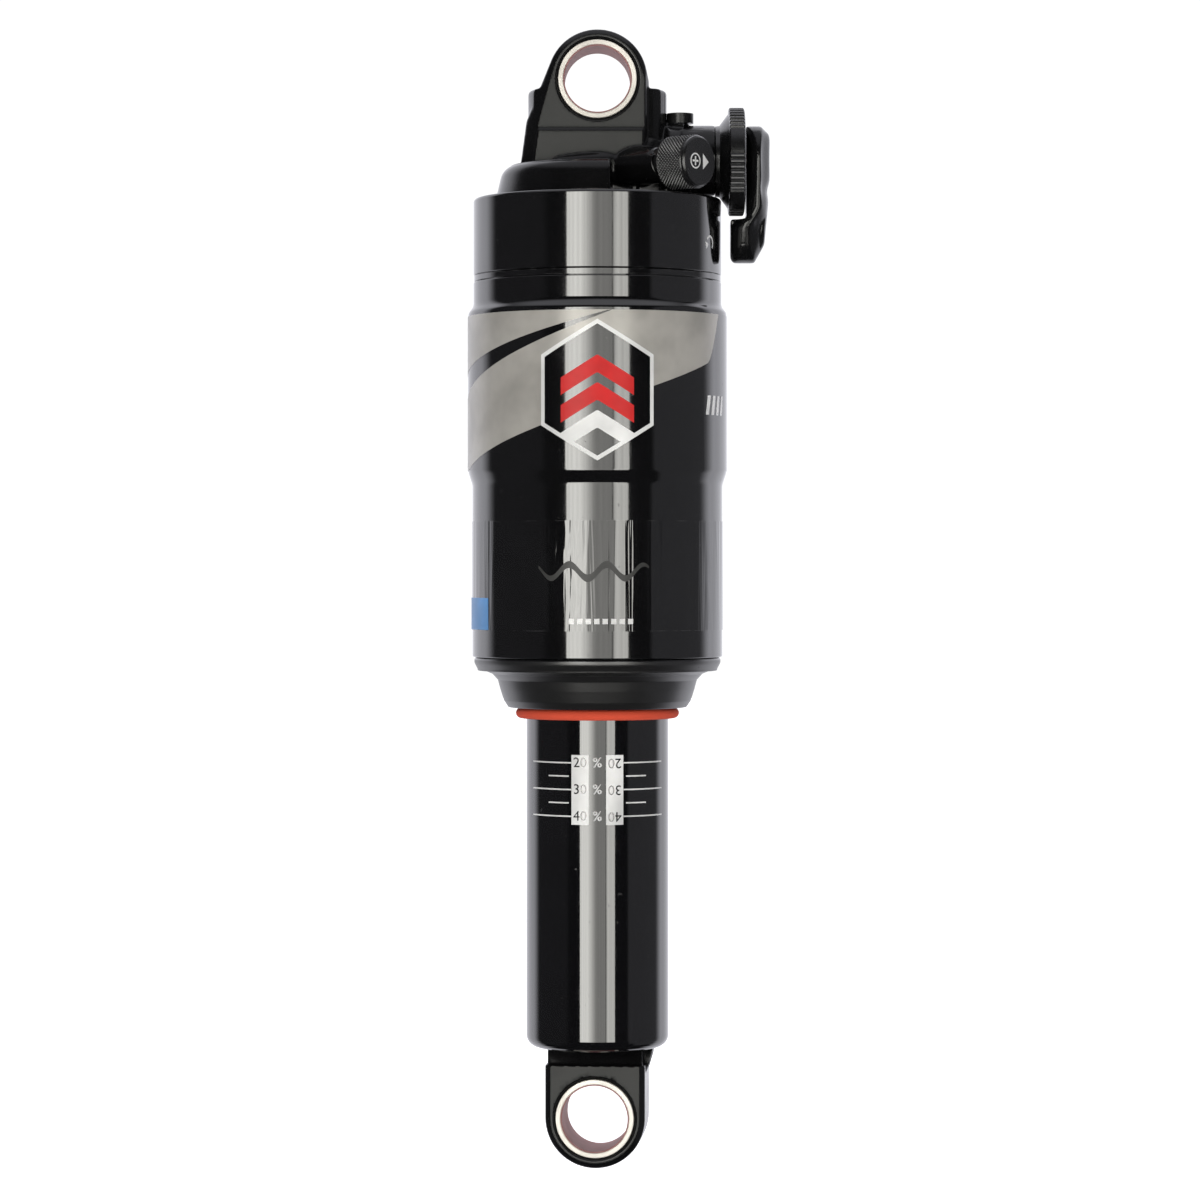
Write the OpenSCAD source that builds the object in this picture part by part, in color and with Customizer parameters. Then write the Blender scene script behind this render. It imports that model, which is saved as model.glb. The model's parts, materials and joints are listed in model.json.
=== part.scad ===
// Air-sprung rear shock for a bicycle.
// The origin is the centre of the upper eye, +Z runs up the shock's axis, and both eyes are bored along Y.

/* [Travel and length] */
// Travel of the damper body into the air can
stroke = 51; // [42:0.5:62]
// Upper eye centre down to the top face of the air can
eye_to_can = 22.8; // [22:0.1:27]
// Tube left showing below the wiper at full travel
spare_tube = 14.6; // [12:0.1:18]
// Bottom face of the tube down to the lower eye centre
eye_drop = 13.4; // [12.8:0.1:17]
// Turn of the lower eye against the upper one, as drawn
lower_eye_turn = -5; // [-30:1:30]

/* [Eyes] */
// Radius of the pin that passes through each eye
pin_r = 6.35; // [5:0.05:7.7]
// Width of each eye
eye_width = 12.7; // [10.6:0.1:15.3]
// Wall of the low-friction liner
liner_wall = 0.25; // [0.2:0.01:0.4]
// Wall of the steel bush
bush_wall = 0.94; // [0.78:0.01:1.2]
// Metal around the bush
eye_wall = 2.1; // [1.75:0.05:2.6]
// Bevel around the edge of each eye
eye_bevel = 1; // [0.5:0.1:1.3]

/* [Air can] */
// Gap between the damper tube and the bore of the can
annulus = 3.75; // [3.5:0.05:4.6]
// Bore of the can out to its outer face
can_wall = 6.5; // [5.6:0.1:7.8]
// Wall of the inner can, under the sleeve
inner_can_wall = 1.7; // [1.4:0.1:2.1]
// Height of the can's upper body, above the sleeve
can_shoulder_len = 14.7; // [12.5:0.1:17.6]
// Length of the widest part of the sleeve
belly_len = 30.8; // [25.7:0.1:36]
// How far the widest part of the sleeve stands out from the can
belly_rise = 1; // [0.5:0.1:1.2]
// Height of the collar below the sleeve
collar_len = 9.75; // [9:0.05:11]
// Depth of the head's spigot inside the can
spigot_len = 10.2; // [9:0.1:12]

/* [Damper] */
// Radius of the hollow damper shaft
shaft_r = 4.5; // [4.2:0.1:5.2]
// Bore of the hollow damper shaft
shaft_bore_r = 2.2; // [2.1:0.05:2.5]
// Bore of the damper tube
tube_bore_r = 12.2; // [11.5:0.1:14.6]
// Wall of the damper tube
tube_wall = 1.55; // [1.3:0.05:1.85]
// Length of the air piston at the top of the tube
air_piston_len = 8; // [7:0.1:9.6]
// Length of the main piston
main_piston_len = 7; // [5.9:0.1:8.4]
// Length of the floating piston that parts gas from oil
float_len = 7; // [6:0.1:8]

/* [Head controls] */
// Axis of the two dials above the top face of the air can
control_rise = 7.6; // [7.4:0.1:9]
// Bore of the dial housing
control_bore_r = 4.6; // [4.4:0.1:5.2]
// Wall of the dial housing
housing_wall = 2.2; // [1.8:0.1:2.4]
// Radius of the rebound dial
dial_r = 10.5; // [8.8:0.1:12.5]
// Width of the rebound dial's rim
dial_width = 3.15; // [2.7:0.05:3.7]
// Length of the lever, from its axis to its tip
lever_len = 19.9; // [17:0.1:23]
// Turn of the rebound dial each way from its middle click
dial_turn = 135; // [120:1:140]
// Turn of the lever from open to firm
lever_turn = 60; // [45:1:65]
// Lift of the rebound rod from its middle click to its end
rebound_lift = 0.9; // [0.6:0.05:1]
// Lift of the compression rod from open to firm
firm_lift = 0.8; // [0.6:0.05:0.9]

/* [Air valve] */
// Bearing of the air valve, turned about Z from +X
valve_angle = -40; // [-48:1:-36]
// Axis of the air valve above the top face of the air can
valve_rise = 5.9; // [5.6:0.1:6.4]
// Radius over the valve thread
valve_thread_r = 3.85; // [3.5:0.05:4.1]
// Radius of the valve cap
cap_r = 5.1; // [4.6:0.05:5.2]
// Length of the valve cap
cap_len = 6.8; // [6:0.1:7.5]

/* [Clearances] */
// Radial gap of every running fit between moving pieces
run_gap = 0.05; // [0.02:0.01:0.09]
// Gap between moving pieces that never touch
free_gap = 0.3; // [0.2:0.05:0.5]

/* [Hidden] */
$fn = 96;
hull_fn = 32;
eps = 0.01;

// Fits inside one body, where two pieces seat without sharing metal
seat_gap = 0.05;
film = 0.1;

// Radii, from the pin and the shaft outwards
liner_r = pin_r + liner_wall;
bush_r = liner_r + bush_wall;
eye_r = bush_r + eye_wall;
tube_r = tube_bore_r + tube_wall;
bore_r = tube_r + annulus;
inner_can_r = bore_r + inner_can_wall;
thread_r = bore_r + 1.75;
can_r = bore_r + can_wall;
land_r = can_r - 1.6;
belly_r = can_r + belly_rise;
sleeve_r = can_r + 0.2;
flange_r = thread_r + 0.45;
half_eye = eye_width / 2;

// Heights, from the upper eye downwards
can_top = -eye_to_can;
flange_h = 6.4;
flange_top = can_top + flange_h;
spigot_end = can_top - spigot_len;
bumper_len = 5.5;
piston_top = spigot_end - bumper_len - 0.5 - stroke;
tube_top = piston_top - air_piston_len;
seal_spigot_len = 6;
seal_spigot_end = tube_top - seal_spigot_len;
negative_gap = 5;
top_out_len = 3;
carrier_top = tube_top - negative_gap - top_out_len;
carrier_len = 15;
wiper_z = carrier_top - carrier_len;
tube_end = wiper_z - stroke - spare_tube;
lower_eye_z = tube_end - eye_drop;
sleeve_bottom = wiper_z + collar_len;
sleeve_top = can_top - can_shoulder_len - 1.4;
belly_top = sleeve_top - 5.9;
belly_bottom = belly_top - belly_len;

// Dial axis and stations along it
control_z = can_top + control_rise;
housing_r = control_bore_r + housing_wall;
housing_end = can_r - 1.3;
dial_cone = can_r - 0.4;
dial_inner = can_r + 1.3;
dial_outer = dial_inner + dial_width;
lever_inner = dial_outer + free_gap;
lever_outer = lever_inner + 4.65;
arm_inner = can_r + 1.7;
plug_x = 16;
lever_shaft_r = 1.6;
collar_start = plug_x - 3;
collar_r = control_bore_r - run_gap;

// Cams and the rods that they push
cam_half = 0.8;
rebound_cam_r = 3.2;
firm_cam_r = 3.2;
firm_cam_x = [-3.2, -1.2];
rebound_sweep = dial_turn + 30;
firm_sweep = lever_turn + 25;
rebound_rise = rebound_lift / dial_turn;
firm_rise = firm_lift / lever_turn;
rod_gap = 0.1;
finger_gap = 0.2;
rod_well_r = 3.9;
rod_head_z = control_z - rebound_cam_r - rod_gap;
finger_z = control_z - firm_cam_r - finger_gap;
collar_flange_z = control_z - 5.6;
needle_r = 0.95;

// Stations along the air valve
valve_z = can_top + valve_rise;
cap_end = can_r + 1.4;
cap_start = cap_end - cap_len;
barrel_r = 3.65;
barrel_end = cap_start - 0.7;
stem_start = 9.5;
stem_tail_r = 3.15;
stem_bore_r = 2.2;
stem_end = cap_end - 1.8;
pocket_x = 2.5;
pocket_floor = min(can_top + 2, valve_z - cap_r - free_gap);

// Damper internals
main_piston_top = seal_spigot_end - 3;
main_piston_end = main_piston_top - main_piston_len;
shim_stack = 1.4;
shaft_thread_r = 3;
nut_len = 3.5;
nut_end = main_piston_end - shim_stack - nut_len;
tube_floor = tube_end + 4.2;
float_travel = stroke * pow(shaft_r / tube_bore_r, 2);
float_end = tube_floor + 2.9 + float_travel;
float_top = float_end + float_len;
plug_thread_r = min(9.6, tube_bore_r - 2.6);
groove_floor_r = tube_r + 3.4;
wiper_seat_r = tube_r + 2.6;

// ---- shared shapes ----

// Round ring about Z
module ring(top, bottom, r_in, r_out) {
    rotate_extrude() translate([r_in, bottom]) square([r_out - r_in, top - bottom]);
}

// Ring of round section about Z
module oring(z, r_mid, r_section) {
    rotate_extrude() translate([r_mid, z]) circle(r_section, $fn = 32);
}

// Disc or drill along Y
module across(r, half) {
    rotate([90, 0, 0]) cylinder(r = r, h = 2 * half, center = true);
}

// Places its children with their own Z along the dial axis
module along_dials() {
    translate([0, 0, control_z]) rotate([0, 90, 0]) children();
}

// Places its children with their own Z along the air valve
module along_valve() {
    translate([0, 0, valve_z]) rotate([0, 90, valve_angle]) children();
}

// Places its children at the lower eye
module at_lower_eye() {
    translate([0, 0, lower_eye_z]) rotate([0, 0, lower_eye_turn]) children();
}

// Hollow cylinder along its own Z
module sleeve_along(from, to, r_in, r_out) {
    difference() {
        translate([0, 0, from]) cylinder(r = r_out, h = to - from);
        translate([0, 0, from - eps]) cylinder(r = r_in, h = to - from + 2 * eps);
    }
}

// Points of an arc about a centre
function arc(cx, cy, r, from, to, steps = 8) =
    [for (i = [0:steps]) let (a = from + (to - from) * i / steps) [cx + r * cos(a), cy + r * sin(a)]];

// Steel bush with bevelled outer edges, about Y
module bush() {
    bevel = 0.25;
    color("gainsboro") rotate([90, 0, 0]) rotate_extrude() polygon([
        [liner_r, -half_eye],
        [bush_r - bevel, -half_eye],
        [bush_r, -half_eye + bevel],
        [bush_r, half_eye - bevel],
        [bush_r - bevel, half_eye],
        [liner_r, half_eye]
    ]);
}

// Low-friction liner, about Y
module bush_liner() {
    color("rosybrown") rotate([90, 0, 0]) sleeve_along(-half_eye, half_eye, pin_r, liner_r);
}

// Cam outline whose radius rises evenly with its angle
module spiral_cam(mid_r, rise_per_degree, sweep) {
    steps = 36;
    polygon([for (a = [-sweep:sweep / steps:sweep])
        (mid_r - rise_per_degree * a) * [cos(a), sin(a)]]);
}

// ---- head ----

// Flange with a rounded top edge, and the spigot that screws into the can
module head_base() {
    edge = 2.2;
    groove = 1.3;
    ring_z = can_top - 6;
    rotate_extrude() polygon(concat(
        [[0, spigot_end], [thread_r - seat_gap, spigot_end]],
        [[thread_r - seat_gap, ring_z - groove], [thread_r - 2 * groove, ring_z - groove]],
        [[thread_r - 2 * groove, ring_z + groove], [thread_r - seat_gap, ring_z + groove]],
        [[thread_r - seat_gap, can_top], [flange_r, can_top]],
        arc(flange_r - edge, flange_top - edge, edge, 0, 90),
        [[0, flange_top]]
    ));
}

// Clear space in front of the flange for fingers around the valve cap
module valve_pocket() {
    reach = 2 * can_r;
    intersection() {
        translate([pocket_x, -reach, pocket_floor]) cube([reach, reach, flange_h]);
        translate([0, 0, pocket_floor])
            rotate([0, 0, valve_angle])
                translate([0, -2 * reach, 0]) cube([reach, 2 * reach + cap_r + 0.5, flange_h]);
    }
}

// Round tower behind the eye, milled flat front and back
module head_tower() {
    tower_r = 13.4;
    tower_top = -1.7;
    edge = 0.8;
    tower_half = half_eye - 0.9;
    intersection() {
        rotate_extrude() polygon(concat(
            [[0, can_top], [tower_r, can_top]],
            arc(tower_r - edge, tower_top - edge, edge, 0, 90),
            [[0, tower_top]]
        ));
        translate([-can_r, -tower_half, can_top]) cube([2 * can_r, 2 * tower_half, eye_to_can]);
    }
}

// The eye itself: a bevelled block that flares to its foot on one side only
module head_eye_block() {
    foot = flange_top - 1.4;
    hull($fn = hull_fn * 2) {
        across(eye_r - eye_bevel, half_eye, $fn = 72);
        across(eye_r, half_eye - eye_bevel, $fn = 72);
        rotate([90, 0, 0]) linear_extrude(eye_width, center = true)
            polygon([[-11.6, -9.6], [-12.8, foot], [eye_r - 0.45, foot], [eye_r - 0.45, 0]]);
        rotate([90, 0, 0]) linear_extrude(eye_width - 3.4, center = true)
            polygon([[-10.3, -0.4], [-13.7, -8], [-15, foot], [eye_r + 0.3, foot], [eye_r + 0.3, -0.4]]);
    }
}

// Raised panel on both faces at the foot of the eye
module head_panel() {
    rise = 0.5;
    top = -9.8;
    foot = flange_top - 1.4;
    rotate([90, 0, 0]) linear_extrude(eye_width + 2 * rise, center = true)
        polygon([[-11.4, top], [-12.5, foot], [eye_r - 0.8, foot], [eye_r - 0.8, top]]);
}

// Cast web that rises from the flange to the root of the valve barrel
module head_fairing() {
    hull() {
        translate([-9.2, -half_eye - 3.2, flange_top - 1]) cube([1, 3.2, 1]);
        translate([-7.6, -half_eye - 2.6, flange_top - 1]) cube([1, 2.6, 2]);
        along_valve() translate([0, 0, 3]) cylinder(r = barrel_r - 0.3, h = 4.6, $fn = hull_fn);
    }
}

// Cast boss under the detent plug
module plug_boss() {
    translate([plug_x, 0, control_z]) cylinder(r = 3, h = plug_seat - control_z);
}

module head_bores() {
    across(bush_r, half_eye + 1);
    along_dials() translate([0, 0, firm_cam_x[0] - 0.8]) cylinder(r = control_bore_r, h = 2 * can_r);
    translate([0, 0, spigot_end - 1]) cylinder(r = rod_well_r, h = control_z - spigot_end + 1);
    translate([0, 0, spigot_end - 1]) cylinder(r = shaft_r, h = spigot_len + 1 - 1.7);
    along_valve() translate([0, 0, stem_start - 1]) cylinder(r = stem_tail_r + seat_gap, h = 2 * can_r);
    air_passage();
    translate([plug_x, 0, control_z]) cylinder(r = detent_bore_r, h = 2 * housing_r);
    translate([plug_x, 0, plug_seat - plug_stub]) cylinder(r = 1.6 + seat_gap, h = 2);
}

// Drilled way from the air valve down into the can
module air_passage() {
    rotate([0, 0, valve_angle])
        translate([stem_start - 0.2, 0, spigot_end - 1]) cylinder(r = 1, h = valve_z - spigot_end + 1);
}

module head_eyelet() {
    color("dimgray") difference() {
        union() {
            difference() {
                head_base();
                valve_pocket();
            }
            head_tower();
            head_eye_block();
            head_panel();
            head_fairing();
            along_dials() cylinder(r = housing_r, h = housing_end);
            along_valve() cylinder(r = barrel_r, h = barrel_end);
            plug_boss();
        }
        head_bores();
    }
}

module upper_bush() {
    bush();
}

module upper_bush_liner() {
    bush_liner();
}

module head_oring() {
    color("darkslategray") oring(can_top - 6, thread_r - 1.3, 1.25);
}

plug_seat = control_z + housing_r + 0.4;
plug_h = 1.9;
plug_stub = 0.6;
plug_hole_top = plug_seat + 1.1;
detent_bore_r = 1.05;

// Plug that closes the detent's bore, hollow below to hold the spring
module housing_plug() {
    socket = 0.4;
    color("black") difference() {
        union() {
            translate([plug_x, 0, plug_seat]) cylinder(r = 2.6, h = plug_h);
            translate([plug_x, 0, plug_seat - plug_stub]) cylinder(r = 1.6, h = plug_stub + 0.2);
        }
        translate([plug_x, 0, plug_seat + plug_h - socket]) cylinder(r = 1.3, h = 1, $fn = 6);
        translate([plug_x, 0, plug_seat - 2])
            cylinder(r = detent_bore_r, h = 2 + plug_hole_top - plug_seat);
    }
}

ball_r = 0.8;
ball_z = control_z + collar_r + run_gap + ball_r;

module detent_ball() {
    color("silver") translate([plug_x, 0, ball_z]) sphere(ball_r);
}

// Coil of round wire about Z, swept as rings along its helix
module coil(mid_r, wire_r, height, turns) {
    sides = 8;
    steps = 12 * turns;
    points = [for (i = [0:steps], j = [0:sides - 1])
        let (a = 360 * turns * i / steps, b = 360 * j / sides, r = mid_r + wire_r * cos(b))
        [r * cos(a), r * sin(a), height * i / steps + wire_r * sin(b)]];
    walls = [for (i = [0:steps - 1], j = [0:sides - 1])
        let (k = (j + 1) % sides)
        [i * sides + j, (i + 1) * sides + j, (i + 1) * sides + k, i * sides + k]];
    ends = [[for (j = [0:sides - 1]) j], [for (j = [sides - 1:-1:0]) steps * sides + j]];
    polyhedron(points, concat(walls, ends));
}

module detent_spring() {
    wire_r = 0.12;
    turns = 3;
    end_gap = wire_r + 0.03;
    base = ball_z + ball_r + end_gap;
    color("silver") translate([plug_x, 0, base]) coil(0.8, wire_r, plug_hole_top - end_gap - base, turns);
}

// ---- air valve ----

module valve_stem() {
    color("black") along_valve() difference() {
        union() {
            translate([0, 0, stem_start]) cylinder(r = stem_tail_r, h = barrel_end - stem_start);
            translate([0, 0, barrel_end]) cylinder(r = valve_thread_r, h = stem_end - barrel_end);
        }
        translate([0, 0, stem_start - 1]) cylinder(r = stem_bore_r, h = 2 * can_r);
    }
}

module valve_core() {
    color("goldenrod") along_valve()
        sleeve_along(stem_end - 8, stem_end - 1.6, 0.55, stem_bore_r - seat_gap);
}

module valve_pin() {
    color("gold") along_valve() {
        translate([0, 0, stem_end - 7]) cylinder(r = 0.5, h = 6.8);
        translate([0, 0, stem_end - 0.7]) cylinder(r = 0.9, h = 0.5);
    }
}

module cap_seal() {
    color("darkslategray") along_valve()
        sleeve_along(stem_end + 0.1, cap_end - 1.05, 1.6, valve_thread_r - 0.1);
}

module valve_cap() {
    edge = 0.6;
    color("black") along_valve() rotate_extrude() polygon(concat(
        [[valve_thread_r + 0.1, cap_start], [cap_r, cap_start]],
        arc(cap_r - edge, cap_end - edge, edge, 0, 90, 4),
        [[0, cap_end], [0, cap_end - 1], [valve_thread_r + 0.1, cap_end - 1]]
    ));
}

// ---- air can ----

// Groove for a sleeve seal, as outline points going down a land
function land_groove(z, depth = 1.8, half = 1.1) =
    [[land_r, z + half], [land_r - depth, z + half], [land_r - depth, z - half], [land_r, z - half]];

upper_seal_z = sleeve_top - 3.4;
lower_seal_z = sleeve_bottom + 3.4;
seal_land = 5.8;
scoop_r = 3.6;

module air_can() {
    top_edge = 0.8;
    rim_edge = 0.5;
    neck_r = tube_r + 4.85;
    rim_r = neck_r + 5.2;
    foot_r = tube_r + 3.5;
    rim_h = 2.25;
    scoop_top = sleeve_bottom - rim_h - 0.4;
    color("black") rotate_extrude() polygon(concat(
        [[thread_r, can_top], [can_r - top_edge, can_top], [can_r, can_top - top_edge]],
        [[can_r, can_top - can_shoulder_len + 0.2], [can_r - 0.2, can_top - can_shoulder_len]],
        [[land_r, can_top - can_shoulder_len]],
        land_groove(upper_seal_z),
        [[land_r, sleeve_top - seal_land], [inner_can_r, sleeve_top - seal_land - 1.5]],
        [[inner_can_r, sleeve_bottom + seal_land + 1.5], [land_r, sleeve_bottom + seal_land]],
        land_groove(lower_seal_z),
        [[land_r, sleeve_bottom], [can_r - 0.2 - rim_edge, sleeve_bottom]],
        arc(can_r - 0.2 - rim_edge, sleeve_bottom - rim_edge, rim_edge, 90, 0, 4),
        [[can_r - 0.2, sleeve_bottom - rim_h + 0.3], [can_r - 0.6, sleeve_bottom - rim_h]],
        [[can_r - 1.1, scoop_top]],
        arc(neck_r + scoop_r + 0.2, scoop_top - scoop_r, scoop_r, 90, 180),
        [[neck_r - 0.5, wiper_z + 1.3], [foot_r, wiper_z]],
        [[wiper_seat_r, wiper_z], [wiper_seat_r, wiper_z + 3.4]],
        [[tube_r + 1, wiper_z + 3.4], [tube_r + 1, wiper_z + 4.2]],
        [[groove_floor_r - 0.8, wiper_z + 4.2], [groove_floor_r - 0.8, wiper_z + 9]],
        [[tube_r + 1, wiper_z + 9], [tube_r + 1, wiper_z + 9.6]],
        [[tube_r + 2.2, wiper_z + 9.6], [tube_r + 2.2, carrier_top], [bore_r, carrier_top]],
        [[bore_r, spigot_end - 0.3], [thread_r, spigot_end - 0.3]]
    ));
}

module outer_sleeve() {
    shoulder = 1.3;
    taper = 2.5;
    edge = 0.3;
    inner = land_r + seat_gap;
    hollow = belly_r - 1.5;
    color("black") rotate_extrude() polygon([
        [inner, sleeve_top],
        [can_r - edge, sleeve_top],
        [can_r, sleeve_top - edge],
        [can_r, belly_top + shoulder],
        [belly_r, belly_top],
        [belly_r, belly_bottom],
        [sleeve_r, belly_bottom - taper],
        [sleeve_r, sleeve_bottom + edge],
        [sleeve_r - edge, sleeve_bottom],
        [inner, sleeve_bottom],
        [inner, belly_bottom - 1],
        [hollow, belly_bottom + 1.5],
        [hollow, belly_top - 2.5],
        [inner, belly_top - 3.8]
    ]);
}

module sleeve_oring_upper() {
    color("darkslategray") oring(upper_seal_z, land_r - 0.88, 0.9);
}

module sleeve_oring_lower() {
    color("darkslategray") oring(lower_seal_z, land_r - 0.88, 0.9);
}

// Split ring that holds the sleeve down, gap at the back
module sleeve_retaining_ring() {
    color("black") difference() {
        ring(can_top - can_shoulder_len - 0.2, sleeve_top + 0.2, land_r + seat_gap, can_r - 0.1);
        translate([-1, 0, sleeve_top]) cube([2, 2 * can_r, 2]);
    }
}

module volume_spacer() {
    color("darkslategray") ring(spigot_end, spigot_end - bumper_len, bore_r - 4.5, bore_r - 0.2);
}

module bottom_out_bumper() {
    color("khaki") ring(spigot_end, spigot_end - bumper_len, shaft_r + seat_gap, shaft_r + 3.4);
}

module top_out_bumper() {
    color("khaki") ring(carrier_top + top_out_len, carrier_top, tube_r + 1, bore_r - 0.2);
}

module can_glide_bush() {
    color("tan") ring(carrier_top, wiper_z + 9.65, tube_r + run_gap, tube_r + 2.15);
}

// Lip seal with a V-shaped mouth facing the air
module can_u_cup_seal() {
    top = wiper_z + 8.9;
    bottom = wiper_z + 5.5;
    inner = tube_r + run_gap;
    outer = groove_floor_r - 0.85;
    middle = (inner + outer) / 2;
    color("darkslategray") rotate_extrude() polygon([
        [inner, bottom], [outer, bottom], [outer, top], [middle, top - 1.8], [inner, top]
    ]);
}

module can_backup_ring() {
    color("ivory") ring(wiper_z + 5.4, wiper_z + 4.25, tube_r + run_gap, groove_floor_r - 0.85);
}

module wiper_seal() {
    inner = tube_r + run_gap;
    outer = wiper_seat_r - seat_gap;
    color("darkslategray") rotate_extrude() polygon([
        [inner, wiper_z + 0.1],
        [inner + 0.5, wiper_z + 0.1],
        [outer - 0.8, wiper_z + 0.6],
        [outer, wiper_z + 0.6],
        [outer, wiper_z + 3.35],
        [inner + 0.6, wiper_z + 3.35],
        [inner + 0.6, wiper_z + 1.4],
        [inner, wiper_z + 0.8]
    ]);
}

// A wrap stuck round the sleeve, its seam at the back
module wrap(top, bottom, r, from, to) {
    rotate([0, 0, from]) rotate_extrude(angle = to - from)
        translate([r, bottom]) square([film, top - bottom]);
}

module upper_label() {
    color("gray") wrap(belly_top - 0.7, belly_bottom + 0.2, belly_r, 95, 445);
}

label_drop = 7;
label_h = 20.9;
label_top = belly_bottom - 2.5 - label_drop;

module lower_label() {
    color("black") wrap(label_top, label_top - label_h, sleeve_r, 95, 445);
}

module side_sticker() {
    color("dodgerblue") wrap(label_top - 14.7, label_top - label_h + 0.1, sleeve_r + film, 160, 211);
}

// ---- damper parts that hang from the head ----

module damper_shaft() {
    color("silver") difference() {
        union() {
            ring(can_top - 1.8, main_piston_top + shim_stack, 0, shaft_r - eps);
            ring(main_piston_top + shim_stack + eps, nut_end - 0.6, 0, shaft_thread_r);
        }
        translate([0, 0, nut_end - 1]) cylinder(r = shaft_bore_r, h = can_top - nut_end);
    }
}

module main_piston() {
    ports = 6;
    port_r = 1.1;
    band = 3.6;
    middle = (main_piston_top + main_piston_end) / 2;
    color("silver") difference() {
        ring(main_piston_top, main_piston_end, shaft_thread_r + seat_gap, tube_bore_r - 0.2);
        ring(middle + band / 2, middle - band / 2, tube_bore_r - 1.2, tube_bore_r + 1);
        for (i = [0:ports - 1])
            rotate([0, 0, 360 * i / ports]) translate([7.4, 0, main_piston_end - 1])
                cylinder(r = port_r, h = main_piston_len + 2);
    }
}

module piston_glide_band() {
    middle = (main_piston_top + main_piston_end) / 2;
    color("tan") ring(middle + 1.75, middle - 1.75, tube_bore_r - 1.15, tube_bore_r - run_gap);
}

// Stack of thin discs that gets smaller away from the piston
module shims(seat, direction, widest) {
    count = 5;
    thick = shim_stack / count;
    color("silver") for (i = [0:count - 1]) {
        from = seat + direction * thick * i;
        to = from + direction * thick;
        ring(max(from, to), min(from, to), shaft_thread_r + seat_gap, widest - 0.9 * i);
    }
}

module compression_shims() {
    shims(main_piston_top, 1, 9.4);
}

module rebound_shims() {
    shims(main_piston_end, -1, 9);
}

module piston_nut() {
    color("silver") difference() {
        translate([0, 0, nut_end]) cylinder(r = 5.6, h = nut_len, $fn = 6);
        translate([0, 0, nut_end - 1]) cylinder(r = shaft_thread_r + seat_gap, h = nut_len + 2);
    }
}

// ---- air piston and damper body ----

quad_z = [piston_top - 1.6, piston_top - 4.1];
band_z = [piston_top - 5.2, piston_top - 7.3];

module seal_head() {
    face_r = bore_r - 0.3;
    quad_floor = bore_r - 2.3;
    band_floor = bore_r - 1.1;
    spigot_r = tube_bore_r - seat_gap;
    ring_z = tube_top - 3;
    bush_seat = shaft_r + 1.15;
    color("silver") rotate_extrude() polygon([
        [shaft_r + free_gap, piston_top],
        [face_r, piston_top],
        [face_r, quad_z[0]],
        [quad_floor, quad_z[0]],
        [quad_floor, quad_z[1]],
        [face_r, quad_z[1]],
        [face_r, band_z[0]],
        [band_floor, band_z[0]],
        [band_floor, band_z[1]],
        [face_r, band_z[1]],
        [face_r, tube_top],
        [spigot_r, tube_top],
        [spigot_r, ring_z + 0.7],
        [spigot_r - 1.3, ring_z + 0.7],
        [spigot_r - 1.3, ring_z - 0.7],
        [spigot_r, ring_z - 0.7],
        [spigot_r, seal_spigot_end],
        [bush_seat, seal_spigot_end],
        [bush_seat, piston_top - 4.5],
        [shaft_r + free_gap, piston_top - 4.5],
        [shaft_r + free_gap, piston_top - 3.7],
        [shaft_r + 2.1, piston_top - 3.7],
        [shaft_r + 2.1, piston_top - 1],
        [shaft_r + free_gap, piston_top - 1]
    ]);
}

module air_piston_quad_seal() {
    color("darkslategray")
        ring(quad_z[0] - 0.05, quad_z[1] + 0.05, bore_r - 2.3 + run_gap, bore_r - run_gap);
}

module air_piston_glide_ring() {
    color("tan") ring(band_z[0] - 0.05, band_z[1] + 0.05, bore_r - 1.1 + run_gap, bore_r - run_gap);
}

module shaft_seal() {
    color("darkslategray") ring(piston_top - 1.05, piston_top - 3.65, shaft_r + run_gap, shaft_r + 2.05);
}

module shaft_bushing() {
    color("tan") ring(piston_top - 4.55, seal_spigot_end, shaft_r + run_gap, shaft_r + 1.1);
}

module seal_head_oring() {
    color("darkslategray") oring(tube_top - 3, tube_bore_r - 0.66, 0.62);
}

module damper_tube() {
    edge = 2.2;
    color("black") rotate_extrude() polygon(concat(
        [[tube_bore_r, tube_top], [tube_r, tube_top]],
        arc(tube_r - edge, tube_end + edge, edge, 0, -90),
        [[plug_thread_r, tube_end], [plug_thread_r, tube_floor], [tube_bore_r, tube_floor]]
    ));
}

// Bevelled eye block hanging from a slightly narrower neck
module lower_eye_block() {
    neck = eye_drop - 3.2;
    hull() {
        across(eye_r - eye_bevel, half_eye, $fn = 72);
        across(eye_r, half_eye - eye_bevel, $fn = 72);
        translate([0, 0, neck - 0.5]) cube([2 * (eye_r - eye_bevel), eye_width, 1], center = true);
        translate([0, 0, neck - 0.5]) cube([2 * eye_r, eye_width - 2 * eye_bevel, 1], center = true);
    }
    translate([0, 0, neck / 2 + eye_drop / 2])
        cube([2 * (eye_r - 0.5), eye_width - 1.2, eye_drop - neck], center = true);
}

// Wedge-shaped boss around the gas port
module port_boss() {
    half = 2.9;
    rotate([90, 0, 0]) linear_extrude(2 * half, center = true)
        polygon([[6, eye_drop], [eye_r + 1.4, eye_drop], [eye_r + 1.3, eye_drop - 0.7],
            [eye_r - 0.1, eye_drop - 5.4], [6, eye_drop - 5.4]]);
}

port_drop = 2.6;

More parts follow.
